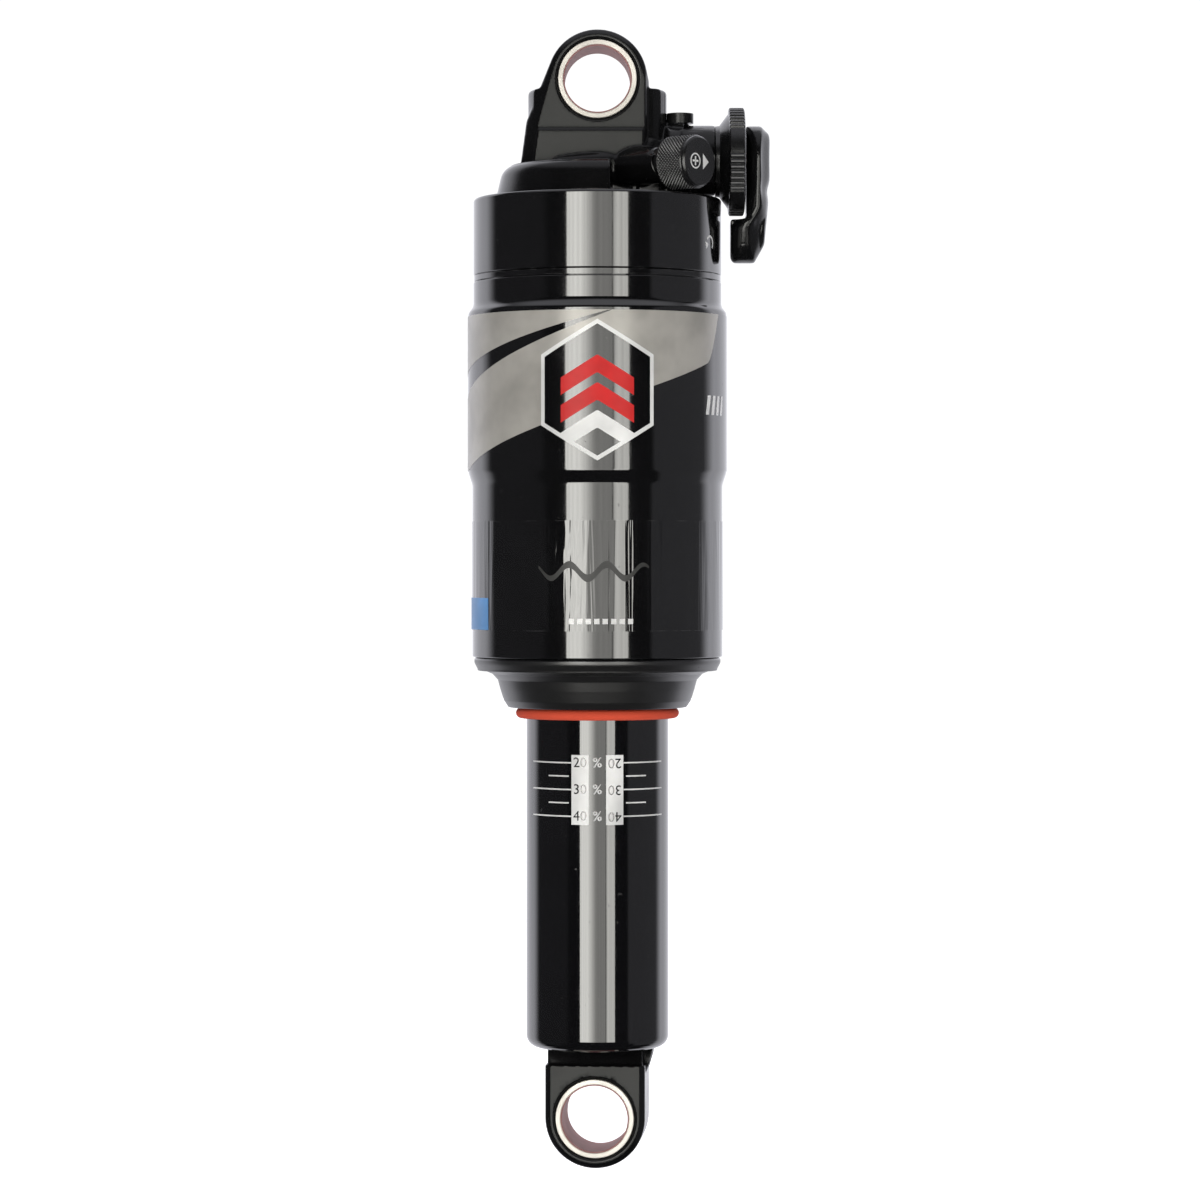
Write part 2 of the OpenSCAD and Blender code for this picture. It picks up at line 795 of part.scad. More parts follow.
module lower_eyelet() {
    well_r = plug_thread_r - 2.8;
    neck_well_r = min(well_r - 1, half_eye - 2.6);
    color("dimgray") at_lower_eye() difference() {
        union() {
            lower_eye_block();
            port_boss();
            translate([0, 0, eye_drop - eps]) cylinder(r = plug_thread_r - seat_gap, h = tube_floor - tube_end);
        }
        across(bush_r, half_eye + 1);
        translate([0, 0, eye_drop + 0.8]) cylinder(r = well_r, h = 10);
        translate([0, 0, eye_drop - 2.2]) cylinder(r = neck_well_r, h = 4);
        translate([0, 0, eye_drop + 2]) difference() {
            cylinder(r = plug_thread_r + 1, h = 1.4);
            translate([0, 0, -1]) cylinder(r = plug_thread_r - 1.3, h = 4);
        }
        translate([neck_well_r - 1, 0, eye_drop - 1.6])
            rotate([0, 90, 0]) cylinder(r = 0.4, h = well_r + 3 - neck_well_r);
        translate([eye_r - 2.2, 0, eye_drop - port_drop]) rotate([0, 90, 0]) cylinder(r = 1.7, h = 6);
    }
}

module fill_plug() {
    color("black") at_lower_eye() difference() {
        translate([eye_r - 2.2, 0, eye_drop - port_drop]) rotate([0, 90, 0]) cylinder(r = 1.65, h = 2);
        translate([eye_r - 1.2, 0, eye_drop - port_drop]) rotate([0, 90, 0]) cylinder(r = 0.8, h = 3, $fn = 6);
    }
}

module tube_bottom_oring() {
    color("darkslategray") oring(tube_end + 2.7, plug_thread_r - 0.66, 0.6);
}

module lower_bush() {
    at_lower_eye() bush();
}

module lower_bush_liner() {
    at_lower_eye() bush_liner();
}

module floating_piston() {
    color("silver") difference() {
        ring(float_top, float_end, 0, tube_bore_r - 0.2);
        ring(float_top + 1, float_top - 2.4, 0, tube_bore_r - 4);
        ring(float_top - 1.4, float_top - 3, tube_bore_r - 1.6, tube_bore_r + 1);
        ring(float_end + 3, float_end + 1.2, tube_bore_r - 1, tube_bore_r + 1);
    }
}

module floating_piston_oring() {
    color("darkslategray") oring(float_top - 2.2, tube_bore_r - 0.82, 0.76);
}

module floating_piston_band() {
    color("tan") ring(float_end + 2.95, float_end + 1.25, tube_bore_r - 0.95, tube_bore_r - run_gap);
}

module travel_ring() {
    section = 1;
    color("tomato") oring(wiper_z - section - 0.1, tube_r + run_gap + section, section);
}

// ---- dials ----

module rebound_cam() {
    clicks = 5;
    knob_seat_r = 4;
    color("silver") along_dials() difference() {
        union() {
            translate([0, 0, -cam_half]) linear_extrude(2 * cam_half)
                spiral_cam(rebound_cam_r, rebound_rise, rebound_sweep);
            translate([0, 0, -cam_half]) cylinder(r = 2, h = collar_start + cam_half);
            translate([0, 0, collar_start]) cylinder(r = collar_r, h = housing_end - 0.2 - collar_start);
            translate([0, 0, housing_end - 0.3])
                cylinder(r = knob_seat_r, h = dial_outer - housing_end - 0.3);
        }
        translate([0, 0, -5]) cylinder(r = lever_shaft_r + run_gap, h = 2 * can_r);
        for (i = [-clicks:clicks])
            rotate([0, 0, 180 + i * dial_turn / clicks])
                translate([collar_r + ball_r - 0.2, 0, plug_x]) sphere(ball_r, $fn = 24);
    }
}

// Dial with groups of ridges round its rim and plain thumb patches between them
module rebound_dial() {
    groups = 5;
    ridges = 7;
    ridge_step = 6;
    ridge = 0.55;
    ridge_inset = 0.15;
    rim_r = dial_r - 0.35;
    hub_r = 4.05;
    color("black") along_dials() difference() {
        union() {
            translate([0, 0, dial_cone]) cylinder(r1 = 7, r2 = rim_r - 0.9, h = dial_inner - dial_cone);
            translate([0, 0, housing_end + 0.3]) cylinder(r = 6.9, h = dial_inner - housing_end - 0.3);
            translate([0, 0, dial_inner]) cylinder(r = rim_r, h = dial_width);
            for (g = [0:groups - 1], i = [0:ridges - 1])
                rotate([0, 0, 360 * g / groups + ridge_step * i + 196])
                    translate([rim_r - 0.5, -ridge / 2, dial_inner + ridge_inset])
                        cube([0.85, ridge, dial_width - 2 * ridge_inset]);
        }
        translate([0, 0, housing_end]) cylinder(r = hub_r, h = can_r);
        translate([0, 0, dial_outer - 0.8]) sleeve_along(0, 1, hub_r + 1.2, rim_r - 1);
    }
}

module rebound_rod() {
    head_r = 0.95;
    color("silver") {
        ring(rod_head_z, nut_end - 2, 0, head_r);
        translate([0, 0, nut_end - 3.4]) cylinder(r1 = 0.3, r2 = head_r, h = 1.4);
    }
}

module lever_shaft() {
    color("silver") along_dials() {
        translate([0, 0, firm_cam_x[0]]) cylinder(r = lever_shaft_r, h = lever_outer - 2 - firm_cam_x[0]);
        translate([0, 0, firm_cam_x[0]]) linear_extrude(firm_cam_x[1] - firm_cam_x[0])
            spiral_cam(firm_cam_r, firm_rise, firm_sweep);
    }
}

module lever_screw() {
    color("silver") along_dials() difference() {
        translate([0, 0, lever_outer - 1.95]) cylinder(r = 2.6, h = 1.5);
        translate([0, 0, lever_outer - 1.2]) cylinder(r = 1.2, h = 2, $fn = 6);
    }
}

// Lever with a round boss and a thumb blade that steps inward below the dial
module firm_lever() {
    boss_r = 6.7;
    blade_top = dial_r + 0.6;
    color("black") along_dials() difference() {
        union() {
            hull($fn = hull_fn) {
                translate([0, 0, lever_inner]) cylinder(r = boss_r, h = 3.4);
                translate([0, 0, lever_inner]) cylinder(r = boss_r - 1.3, h = lever_outer - lever_inner);
                translate([lever_len - 4, 0, lever_inner]) cylinder(r = 4, h = 1.6);
                translate([lever_len - 8, 0, lever_inner]) cylinder(r = 4.4, h = 3.6);
            }
            hull($fn = hull_fn) {
                translate([lever_len - 4, 0, arm_inner + 0.6]) cylinder(r = 4, h = 3);
                translate([lever_len - 4.5, 0, arm_inner]) cylinder(r = 3.6, h = 5);
                translate([blade_top + 0.4, -5, arm_inner]) cube([1, 10, 5]);
            }
        }
        translate([0, 0, arm_inner - 1]) cylinder(r = lever_shaft_r + seat_gap, h = 20);
        translate([0, 0, lever_outer - 2]) cylinder(r = 2.7, h = 4);
        translate([0, 0, arm_inner - 1]) cylinder(r = dial_r + free_gap, h = lever_inner - arm_inner + 1);
    }
}

// Tube around the rebound rod, with a finger that reaches up to the lever's cam
module compression_rod() {
    finger_half = 1.5;
    flange_r2 = rod_well_r - 0.5;
    color("silver") difference() {
        union() {
            ring(collar_flange_z, main_piston_top + 4, 0, shaft_bore_r - run_gap);
            ring(collar_flange_z, collar_flange_z - 0.8, 0, flange_r2);
            translate([firm_cam_x[0], -finger_half, collar_flange_z - 0.5])
                cube([firm_cam_x[1] - firm_cam_x[0], 2 * finger_half, finger_z - collar_flange_z + 0.5]);
        }
        translate([0, 0, main_piston_top])
            cylinder(r = needle_r + run_gap, h = 2 * eye_to_can + stroke * 2);
    }
}

head_eyelet();
upper_bush();
upper_bush_liner();
head_oring();
air_can();
outer_sleeve();
sleeve_oring_upper();
sleeve_oring_lower();
sleeve_retaining_ring();
volume_spacer();
bottom_out_bumper();
top_out_bumper();
can_glide_bush();
can_u_cup_seal();
can_backup_ring();
wiper_seal();
damper_shaft();
main_piston();
piston_glide_band();
compression_shims();
rebound_shims();
piston_nut();
valve_stem();
valve_core();
housing_plug();
detent_ball();
detent_spring();
upper_label();
lower_label();
side_sticker();
air_piston_glide_ring();
air_piston_quad_seal();
damper_tube();
lower_eyelet();
seal_head();
shaft_seal();
shaft_bushing();
seal_head_oring();
lower_bush();
lower_bush_liner();
fill_plug();
tube_bottom_oring();
floating_piston();
floating_piston_oring();
floating_piston_band();
travel_ring();
rebound_dial();
rebound_cam();
rebound_rod();
firm_lever();
lever_shaft();
lever_screw();
compression_rod();
cap_seal();
valve_cap();
valve_pin();
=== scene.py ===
"""Looks of an air-sprung bicycle rear shock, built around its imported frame."""

import json
import logging
import math
from collections.abc import Callable
from dataclasses import dataclass
from enum import Enum
from functools import cache

import bmesh
import bpy
import numpy as np
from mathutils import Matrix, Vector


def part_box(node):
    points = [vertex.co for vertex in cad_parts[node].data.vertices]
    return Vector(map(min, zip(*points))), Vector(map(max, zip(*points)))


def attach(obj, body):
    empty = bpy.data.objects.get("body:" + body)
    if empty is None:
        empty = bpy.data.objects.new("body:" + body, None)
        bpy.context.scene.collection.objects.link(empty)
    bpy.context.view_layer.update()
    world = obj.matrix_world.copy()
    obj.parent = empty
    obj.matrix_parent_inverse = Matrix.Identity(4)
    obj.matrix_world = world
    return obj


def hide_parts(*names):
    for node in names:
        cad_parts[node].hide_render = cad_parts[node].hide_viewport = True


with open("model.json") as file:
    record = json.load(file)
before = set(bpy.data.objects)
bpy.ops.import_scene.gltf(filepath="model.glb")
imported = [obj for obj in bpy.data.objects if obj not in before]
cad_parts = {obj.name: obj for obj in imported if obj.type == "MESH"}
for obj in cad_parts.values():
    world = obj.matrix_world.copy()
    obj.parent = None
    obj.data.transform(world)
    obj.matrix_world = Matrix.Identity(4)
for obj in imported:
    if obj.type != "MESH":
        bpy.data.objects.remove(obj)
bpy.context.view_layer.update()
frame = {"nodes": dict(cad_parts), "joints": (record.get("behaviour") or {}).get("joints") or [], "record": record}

MM = 0.001
LOG = logging.getLogger("rear_shock")
Colour = tuple[float, float, float]
Span = tuple[float, float]
PLATE_EDGE = math.radians(50)
GRAIN_DEPTH = 0.0001
SPECK_ROUGHNESS = 0.2
DUST = (0.35, 0.34, 0.33, 1)
# Painted edge highlight: a lighter grey mixed into the edges of dark finishes.
EDGE_HIGHLIGHT_GREY = (0.18, 0.18, 0.18, 1)


class Body(Enum):
    """The frame's moving bodies that new pieces ride on."""

    HEAD = "head_and_can"
    DAMPER = "damper_body"
    DIAL = "rebound_adjuster"
    LEVER = "lever"
    CAP = "air_cap"


class Axis(Enum):
    """Direction in which a streak pattern is drawn out."""

    ROUND = "round"
    ALONG = "along"


# ---- reading the frame ----


def low(node: str) -> np.ndarray:
    """Returns the lowest corner of a frame node, in millimetres."""
    return np.array(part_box(node)[0]) / MM


def high(node: str) -> np.ndarray:
    """Returns the highest corner of a frame node, in millimetres."""
    return np.array(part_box(node)[1]) / MM


def middle(node: str) -> np.ndarray:
    """Returns the centre of a frame node's box, in millimetres."""
    return (low(node) + high(node)) / 2


def radius(node: str) -> float:
    """Returns the radius of a node that is round about Z, in millimetres."""
    return float(high(node)[1])


def ends(node: str) -> Span:
    """Returns the lowest and the highest height of a frame node, in millimetres."""
    return float(low(node)[2]), float(high(node)[2])


def joint(name: str) -> dict:
    """Returns a joint of the frame."""
    return next(j for j in frame["joints"] if j["name"] == name)


# ---- numpy surfaces ----


def unit(vectors: np.ndarray) -> np.ndarray:
    """Scales vectors to length one.

    Args:
        vectors: array whose last axis holds the components.

    Returns:
        Array of the same shape.
    """
    return vectors / np.maximum(np.linalg.norm(vectors, axis=-1, keepdims=True), 1e-12)


def fillet_loop(corners: list[tuple[float, float, float]], steps: int = 5) -> np.ndarray:
    """Rounds the corners of a closed outline.

    Each corner gives way to an arc tangent to both its sides, and two more points close to the arc keep the
    straight stretches flat when they are shaded smooth.

    Args:
        corners: (radius, height, fillet radius) of each corner, in millimetres.
        steps: number of pieces in each arc.

    Returns:
        Array (points, 2) of the rounded outline.
    """
    data = np.array(corners, float)
    point, fillet = data[:, :2], np.maximum(data[:, 2], 0.02)
    back, ahead = np.roll(point, 1, 0) - point, np.roll(point, -1, 0) - point
    room = 0.45 * np.minimum(np.linalg.norm(back, axis=1), np.linalg.norm(ahead, axis=1))
    a, b = unit(back), unit(ahead)
    half = np.arccos(np.clip((a * b).sum(1), -0.9999, 0.9999)) / 2
    reach = np.minimum(fillet / np.tan(half), room)
    centre = point + unit(a + b) * (reach / np.cos(half))[:, None]
    start = point + a * reach[:, None] - centre
    end = point + b * reach[:, None] - centre
    share = np.linspace(0, 1, steps + 1)[None, :, None]
    turn = np.arccos(np.clip((unit(start) * unit(end)).sum(1), -1, 1))[:, None, None]
    scale = np.maximum(np.sin(turn), 1e-6)
    arc = (np.sin((1 - share) * turn) * start[:, None] + np.sin(share * turn) * end[:, None]) / scale
    arc = arc + centre[:, None]
    lead = np.minimum(0.06, room / 10)[:, None]
    before = (point + a * (reach[:, None] + lead))[:, None]
    after = (point + b * (reach[:, None] + lead))[:, None]
    return np.concatenate([before, arc, after], axis=1).reshape(-1, 2)


def grid_faces(rows: int, columns: int, closed: bool) -> np.ndarray:
    """Quads that join a grid of points.

    Args:
        rows: number of points along the first axis.
        columns: number of points along the second axis.
        closed: whether the last row and the last column join the first.

    Returns:
        Array (faces, 4) of point numbers.
    """
    spare = 0 if closed else 1
    i = np.arange(rows - spare)[:, None]
    j = np.arange(columns - spare)[None, :]
    i1, j1 = (i + 1) % rows, (j + 1) % columns
    quads = [i * columns + j, i * columns + j1, i1 * columns + j1, i1 * columns + j]
    return np.stack(np.broadcast_arrays(*quads), -1).reshape(-1, 4)


def signed_volume(points: np.ndarray, faces: np.ndarray) -> float:
    """Volume inside quads, by the sum of the tetrahedra that they make with the origin.

    Args:
        points: array (points, 3).
        faces: array (faces, 4).

    Returns:
        The volume, negative if the faces point inwards.
    """
    a, b, c, d = (points[faces[:, k]] for k in range(4))
    return float((a * np.cross(b, c)).sum() + (a * np.cross(c, d)).sum()) / 6


def add_object(name: str, data: bpy.types.ID) -> bpy.types.Object:
    """Puts data into a new object in the scene."""
    made = bpy.data.objects.new(name, data)
    bpy.context.scene.collection.objects.link(made)
    return made


def make_mesh(name: str, points: np.ndarray, faces: np.ndarray) -> bpy.types.Object:
    """Puts a closed surface into a new object at the origin, shaded smooth and facing outwards.

    Args:
        name: the piece's name.
        points: array (points, 3), in millimetres.
        faces: array (faces, 4) of point numbers.

    Returns:
        The new object.
    """
    if signed_volume(points, faces) < 0:
        faces = faces[:, ::-1]
    mesh = bpy.data.meshes.new(name)
    mesh.from_pydata((points * MM).tolist(), [], faces.tolist())
    mesh.polygons.foreach_set("use_smooth", np.ones(len(faces), bool))
    mesh.update()
    return add_object(name, mesh)


def closed_grid(name: str, points: np.ndarray) -> bpy.types.Object:
    """Makes a piece from an array (rows, columns, 3) of points that closes on itself both ways."""
    rows, columns = points.shape[:2]
    return make_mesh(name, points.reshape(-1, 3), grid_faces(rows, columns, True))


@dataclass(frozen=True)
class Spindle:
    """An axis that outlines are turned about: a centre, a level direction and the two directions across it."""

    centre: tuple[float, float, float] = (0.0, 0.0, 0.0)
    along: tuple[float, float, float] = (0.0, 0.0, 1.0)

    def carry(self, along: np.ndarray, side: np.ndarray, up: np.ndarray) -> np.ndarray:
        """Places points about the axis.

        Args:
            along: distances along the axis.
            side: distances to its side.
            up: distances up, or across the axis if it is Z.

        Returns:
            Array of points, with one more axis than the distances.
        """
        axis = np.array(self.along)
        over = np.array([1.0, 0.0, 0.0]) if abs(axis[2]) > 0.9 else np.array([0.0, 0.0, 1.0])
        beside = np.cross(over, axis)
        return (np.array(self.centre) + along[..., None] * axis + side[..., None] * beside + up[..., None] * over)

    def measure(self, points: np.ndarray) -> tuple[np.ndarray, np.ndarray]:
        """Measures points against the axis.

        Args:
            points: array (points, 3), in millimetres.

        Returns:
            Each point's distance along the axis from the centre, and its distance from the axis.
        """
        axis = np.array(self.along)
        reach = (points - self.centre) @ axis
        return reach, np.linalg.norm(points - self.centre - reach[:, None] * axis, axis=1)


def revolve(name: str, outline: np.ndarray, spindle: Spindle = Spindle(), segments: int = 288) -> bpy.types.Object:
    """Turns a closed outline about an axis: a point (r, t) goes t along it, r cos a to its side and r sin a up.

    Args:
        name: the piece's name.
        outline: array (points, 2) of radius and distance along the axis.
        spindle: the axis.
        segments: number of steps round the axis.

    Returns:
        The new object.
    """
    a = np.linspace(0, 2 * np.pi, segments, endpoint=False)[None, :]
    r, t = outline[:, :1], outline[:, 1:]
    return closed_grid(name, spindle.carry(t + 0 * a, r * np.cos(a), r * np.sin(a)))


def plate(name: str, face: np.ndarray, thickness: float, outwards: np.ndarray) -> bpy.types.Object:
    """Makes a thin closed plate from a grid of points on its back.

    Args:
        name: the piece's name.
        face: array (rows, columns, 3) of points on the back face.
        thickness: plate thickness, in millimetres.
        outwards: array like face, the direction of the front at each point.

    Returns:
        The new object.
    """
    rows, columns = face.shape[:2]
    count = rows * columns
    points = np.concatenate([face.reshape(-1, 3), (face + outwards * thickness).reshape(-1, 3)])
    back = grid_faces(rows, columns, False)
    number = np.arange(count).reshape(rows, columns)
    rim = np.concatenate([number[0, :-1], number[:-1, -1], number[-1, :0:-1], number[:0:-1, 0]])
    after = np.roll(rim, -1)
    walls = np.stack([rim, after, after + count, rim + count], -1)
    piece = make_mesh(name, points, np.concatenate([back[:, ::-1], back + count, walls]))
    piece.data.set_sharp_from_angle(angle=PLATE_EDGE)
    return piece


def joined(name: str, pieces: list[bpy.types.Object]) -> bpy.types.Object:
    """Joins plates into one piece of separate closed shells.

    Args:
        name: the new piece's name.
        pieces: the plates, which are removed.

    Returns:
        The new object.
    """
    mesh = bmesh.new()
    for piece in pieces:
        mesh.from_mesh(piece.data)
        bpy.data.objects.remove(piece)
    data = bpy.data.meshes.new(name)
    mesh.to_mesh(data)
    mesh.free()
    return add_object(name, data)


def softened(node: str, name: str, voxel: float, passes: int, keep: float,
             warp: Callable[[np.ndarray], np.ndarray]) -> bpy.types.Object:
    """Makes a cast-looking copy of a frame node, with every edge rounded.

    The copy is rebuilt as even quads, its points are averaged with their neighbours, its faces are thinned out,
    and the points that are left are moved by a function.

    Args:
        node: the frame node to copy.
        name: the piece's name.
        voxel: size of the quads, in millimetres.
        passes: number of averaging passes.
        keep: share of the faces to keep.
        warp: function that moves the points.

    Returns:
        The new object.
    """
    mesh = bmesh.new()
    mesh.from_mesh(frame["nodes"][node].data)
    bmesh.ops.remove_doubles(mesh, verts=mesh.verts, dist=1e-6)
    data = bpy.data.meshes.new(name)
    mesh.to_mesh(data)
    mesh.free()
    piece = add_object(name, data)
    for kind, settings in (
            ("REMESH", {"mode": "VOXEL", "voxel_size": voxel * MM, "use_smooth_shade": True}),
            ("SMOOTH", {"factor": 0.5, "iterations": passes}),
            ("DECIMATE", {"ratio": keep})):
        modifier = piece.modifiers.new(kind.lower(), kind)
        for key, value in settings.items():
            setattr(modifier, key, value)
    view = bpy.context.evaluated_depsgraph_get()
    final = bpy.data.meshes.new_from_object(piece.evaluated_get(view))
    piece.modifiers.clear()
    piece.data = final
    final.name = name
    move_points(final, warp(point_array(piece)))
    final.polygons.foreach_set("use_smooth", np.ones(len(final.polygons), bool))
    return piece


def read_triples(values: bpy.types.bpy_prop_collection, name: str) -> np.ndarray:
    """Reads a property of three numbers.

    Args:
        values: the items that have it.
        name: the property's name.

    Returns:
        Array (items, 3).
    """
    flat = np.zeros(len(values) * 3, np.float32)
    values.foreach_get(name, flat)
    return flat.reshape(-1, 3)


def point_array(piece: bpy.types.Object) -> np.ndarray:
    """Returns a piece's points as an array (points, 3), in millimetres."""
    return read_triples(piece.data.vertices, "co") / MM


def move_points(data: bpy.types.Mesh, points: np.ndarray) -> None:
    """Moves a mesh's points to an array (points, 3), in millimetres."""
    data.vertices.foreach_set("co", (points * MM).astype(np.float32).ravel())
    data.update()


def store(piece: bpy.types.Object, name: str, values: np.ndarray) -> None:
    """Keeps one number per point on the mesh, for its material to read."""
    attribute = piece.data.attributes.new(name, "FLOAT", "POINT")
    attribute.data.foreach_set("value", values.astype(np.float32))


def ramp(values: np.ndarray, start: float, end: float) -> np.ndarray:
    """Smooth step of values from 0 at start to 1 at end."""
    t = np.clip((values - start) / (end - start), 0, 1)
    return t * t * (3 - 2 * t)


# ---- shader graphs ----


class Graph:
    """Short calls for wiring a node tree."""

    def __init__(self, tree: bpy.types.NodeTree) -> None:
        """Keeps the tree that the calls add to."""
        self.tree = tree

    def node(self, kind: str, settings: dict | None = None, **inputs: object) -> bpy.types.Node:
        """Adds a node.

        Args:
            kind: the node's type name.
            settings: properties of the node.
            inputs: a value or an output socket for each named input, with _ for a space.

        Returns:
            The node.
        """
        made = self.tree.nodes.new(kind)
        for key, value in (settings or {}).items():
            setattr(made, key, value)
        for key, value in inputs.items():
            self.wire(made.inputs[key.replace("_", " ")], value)
        return made

    def wire(self, socket: bpy.types.NodeSocket, value: object) -> None:
        """Links an output to a socket, or sets the socket's own value.

        Args:
            socket: the input socket.
            value: an output socket or a value.
        """
        if isinstance(value, bpy.types.NodeSocket):
            self.tree.links.new(value, socket)
        else:
            socket.default_value = value

    def numbered(self, kind: str, settings: dict, values: dict[int, object], output: int = 0) -> bpy.types.NodeSocket:
        """Adds a node whose inputs are known by number.

        Args:
            kind: the node's type name.
            settings: properties of the node.
            values: a value or an output socket for each input's number.
            output: number of the output.

        Returns:
            The output socket.
        """
        made = self.node(kind, settings)
        for index, value in values.items():
            self.wire(made.inputs[index], value)
        return made.outputs[output]

    def math(self, operation: str, *values: object) -> bpy.types.NodeSocket:
        """Returns the output of a Math node over one, two or three values."""
        return self.numbered("ShaderNodeMath", {"operation": operation}, dict(enumerate(values)))

    def remap(self, *values: object) -> bpy.types.NodeSocket:
        """Returns a value carried between ranges: the value, its start and end, and what they become."""
        return self.numbered("ShaderNodeMapRange", {"interpolation_type": "SMOOTHSTEP"}, dict(enumerate(values)))

    def mix(self, share: object, first: object, second: object) -> bpy.types.NodeSocket:
        """Returns a blend of two colours."""
        return self.numbered("ShaderNodeMix", {"data_type": "RGBA"}, {0: share, 6: first, 7: second}, 2)

    def noise(self, vector: object, scale: object, detail: float = 3.0, rough: float = 0.55,
              distortion: object = 0.0) -> bpy.types.NodeSocket:
        """Returns a noise texture's value at a vector."""
        return self.node("ShaderNodeTexNoise", None, Vector=vector, Scale=scale, Detail=detail, Roughness=rough,
                         Distortion=distortion).outputs[0]

    def grey(self, level: object, blue: object = None) -> bpy.types.NodeSocket:
        """Returns a grey of a level, or with another level of blue."""
        return self.node("ShaderNodeCombineColor", None, Red=level, Green=level,
                         Blue=level if blue is None else blue).outputs[0]

    def place(self) -> bpy.types.NodeSocket:
        """Returns the place on the object."""
        return self.node("ShaderNodeTexCoord").outputs["Object"]

    def stretch(self, vector: object, scale: tuple[float, float, float]) -> bpy.types.NodeSocket:
        """Returns a vector scaled on each axis."""
        made = self.node("ShaderNodeMapping", None, Vector=vector)
        made.inputs["Scale"].default_value = scale
        return made.outputs[0]


def new_material(name: str) -> tuple[bpy.types.Material, Graph, bpy.types.Node]:
    """Starts a material.

    Args:
        name: the material's name.

    Returns:
        The material, its graph and its Principled shader.
    """
    material = bpy.data.materials.new(name)
    material.use_nodes = True
    return material, Graph(material.node_tree), material.node_tree.nodes["Principled BSDF"]


def new_group(name: str, inputs: tuple[str, ...], outputs: tuple[str, ...]) -> tuple[Graph, dict, dict]:
    """Starts a shader node group that takes a vector and plain values.

    Args:
        name: the group's name.
        inputs: names of the inputs beside the vector.
        outputs: names of the outputs.

    Returns:
        Its graph, its input sockets by name and its output sockets by name.
    """
    tree = bpy.data.node_groups.new(name, "ShaderNodeTree")
    tree.interface.new_socket("Vector", in_out="INPUT", socket_type="NodeSocketVector")
    for way, labels in (("INPUT", inputs), ("OUTPUT", outputs)):
        for label in labels:
            tree.interface.new_socket(label, in_out=way, socket_type="NodeSocketFloat")
    start, end = tree.nodes.new("NodeGroupInput"), tree.nodes.new("NodeGroupOutput")
    return Graph(tree), {s.name: s for s in start.outputs}, {s.name: s for s in end.inputs}


@cache
def handling_group() -> bpy.types.NodeTree:
    """Finger smears and dust specks: broad noise for the smears, and the peaks of a fine noise for the specks."""
    g, given, out = new_group("handling", (), ("Smear", "Speck"))
    broad = g.noise(given["Vector"], 60.0, 4.0, 0.6, 1.2)
    g.wire(out["Smear"], g.remap(broad, 0.46, 0.72, 0.0, 1.0))
    fine = g.noise(given["Vector"], 900.0, 1.0, 0.5)
    g.wire(out["Speck"], g.remap(fine, 0.74, 0.8, 0.0, 1.0))
    return g.tree


@cache
def edge_group() -> bpy.types.NodeTree:
    """Painted edge highlight mask: how far the rounded normal turns from the true one, broken up by noise."""
    g, given, out = new_group("painted_edge_highlight", (), ("Mask",))
    bevel = g.node("ShaderNodeBevel", {"samples": 4}, Radius=0.0003)
    true = g.node("ShaderNodeNewGeometry").outputs["Normal"]
    dot = g.numbered("ShaderNodeVectorMath", {"operation": "DOT_PRODUCT"}, {0: bevel.outputs[0], 1: true}, 1)
    turned = g.remap(dot, 0.985, 0.9, 0.0, 1.0)
    broken = g.remap(g.noise(given["Vector"], 400.0), 0.4, 0.62, 0.0, 1.0)
    g.wire(out["Mask"], g.math("MULTIPLY", turned, broken))
    return g.tree


@cache
def streak_group() -> bpy.types.NodeTree:
    """Height of fine streaks: noise on a vector that its material has drawn out along the streaks."""
    g, given, out = new_group("streaks", ("Scale", "Wander"), ("Height",))
    g.wire(out["Height"], g.noise(given["Vector"], given["Scale"], 3.0, 0.5, given["Wander"]))
    return g.tree


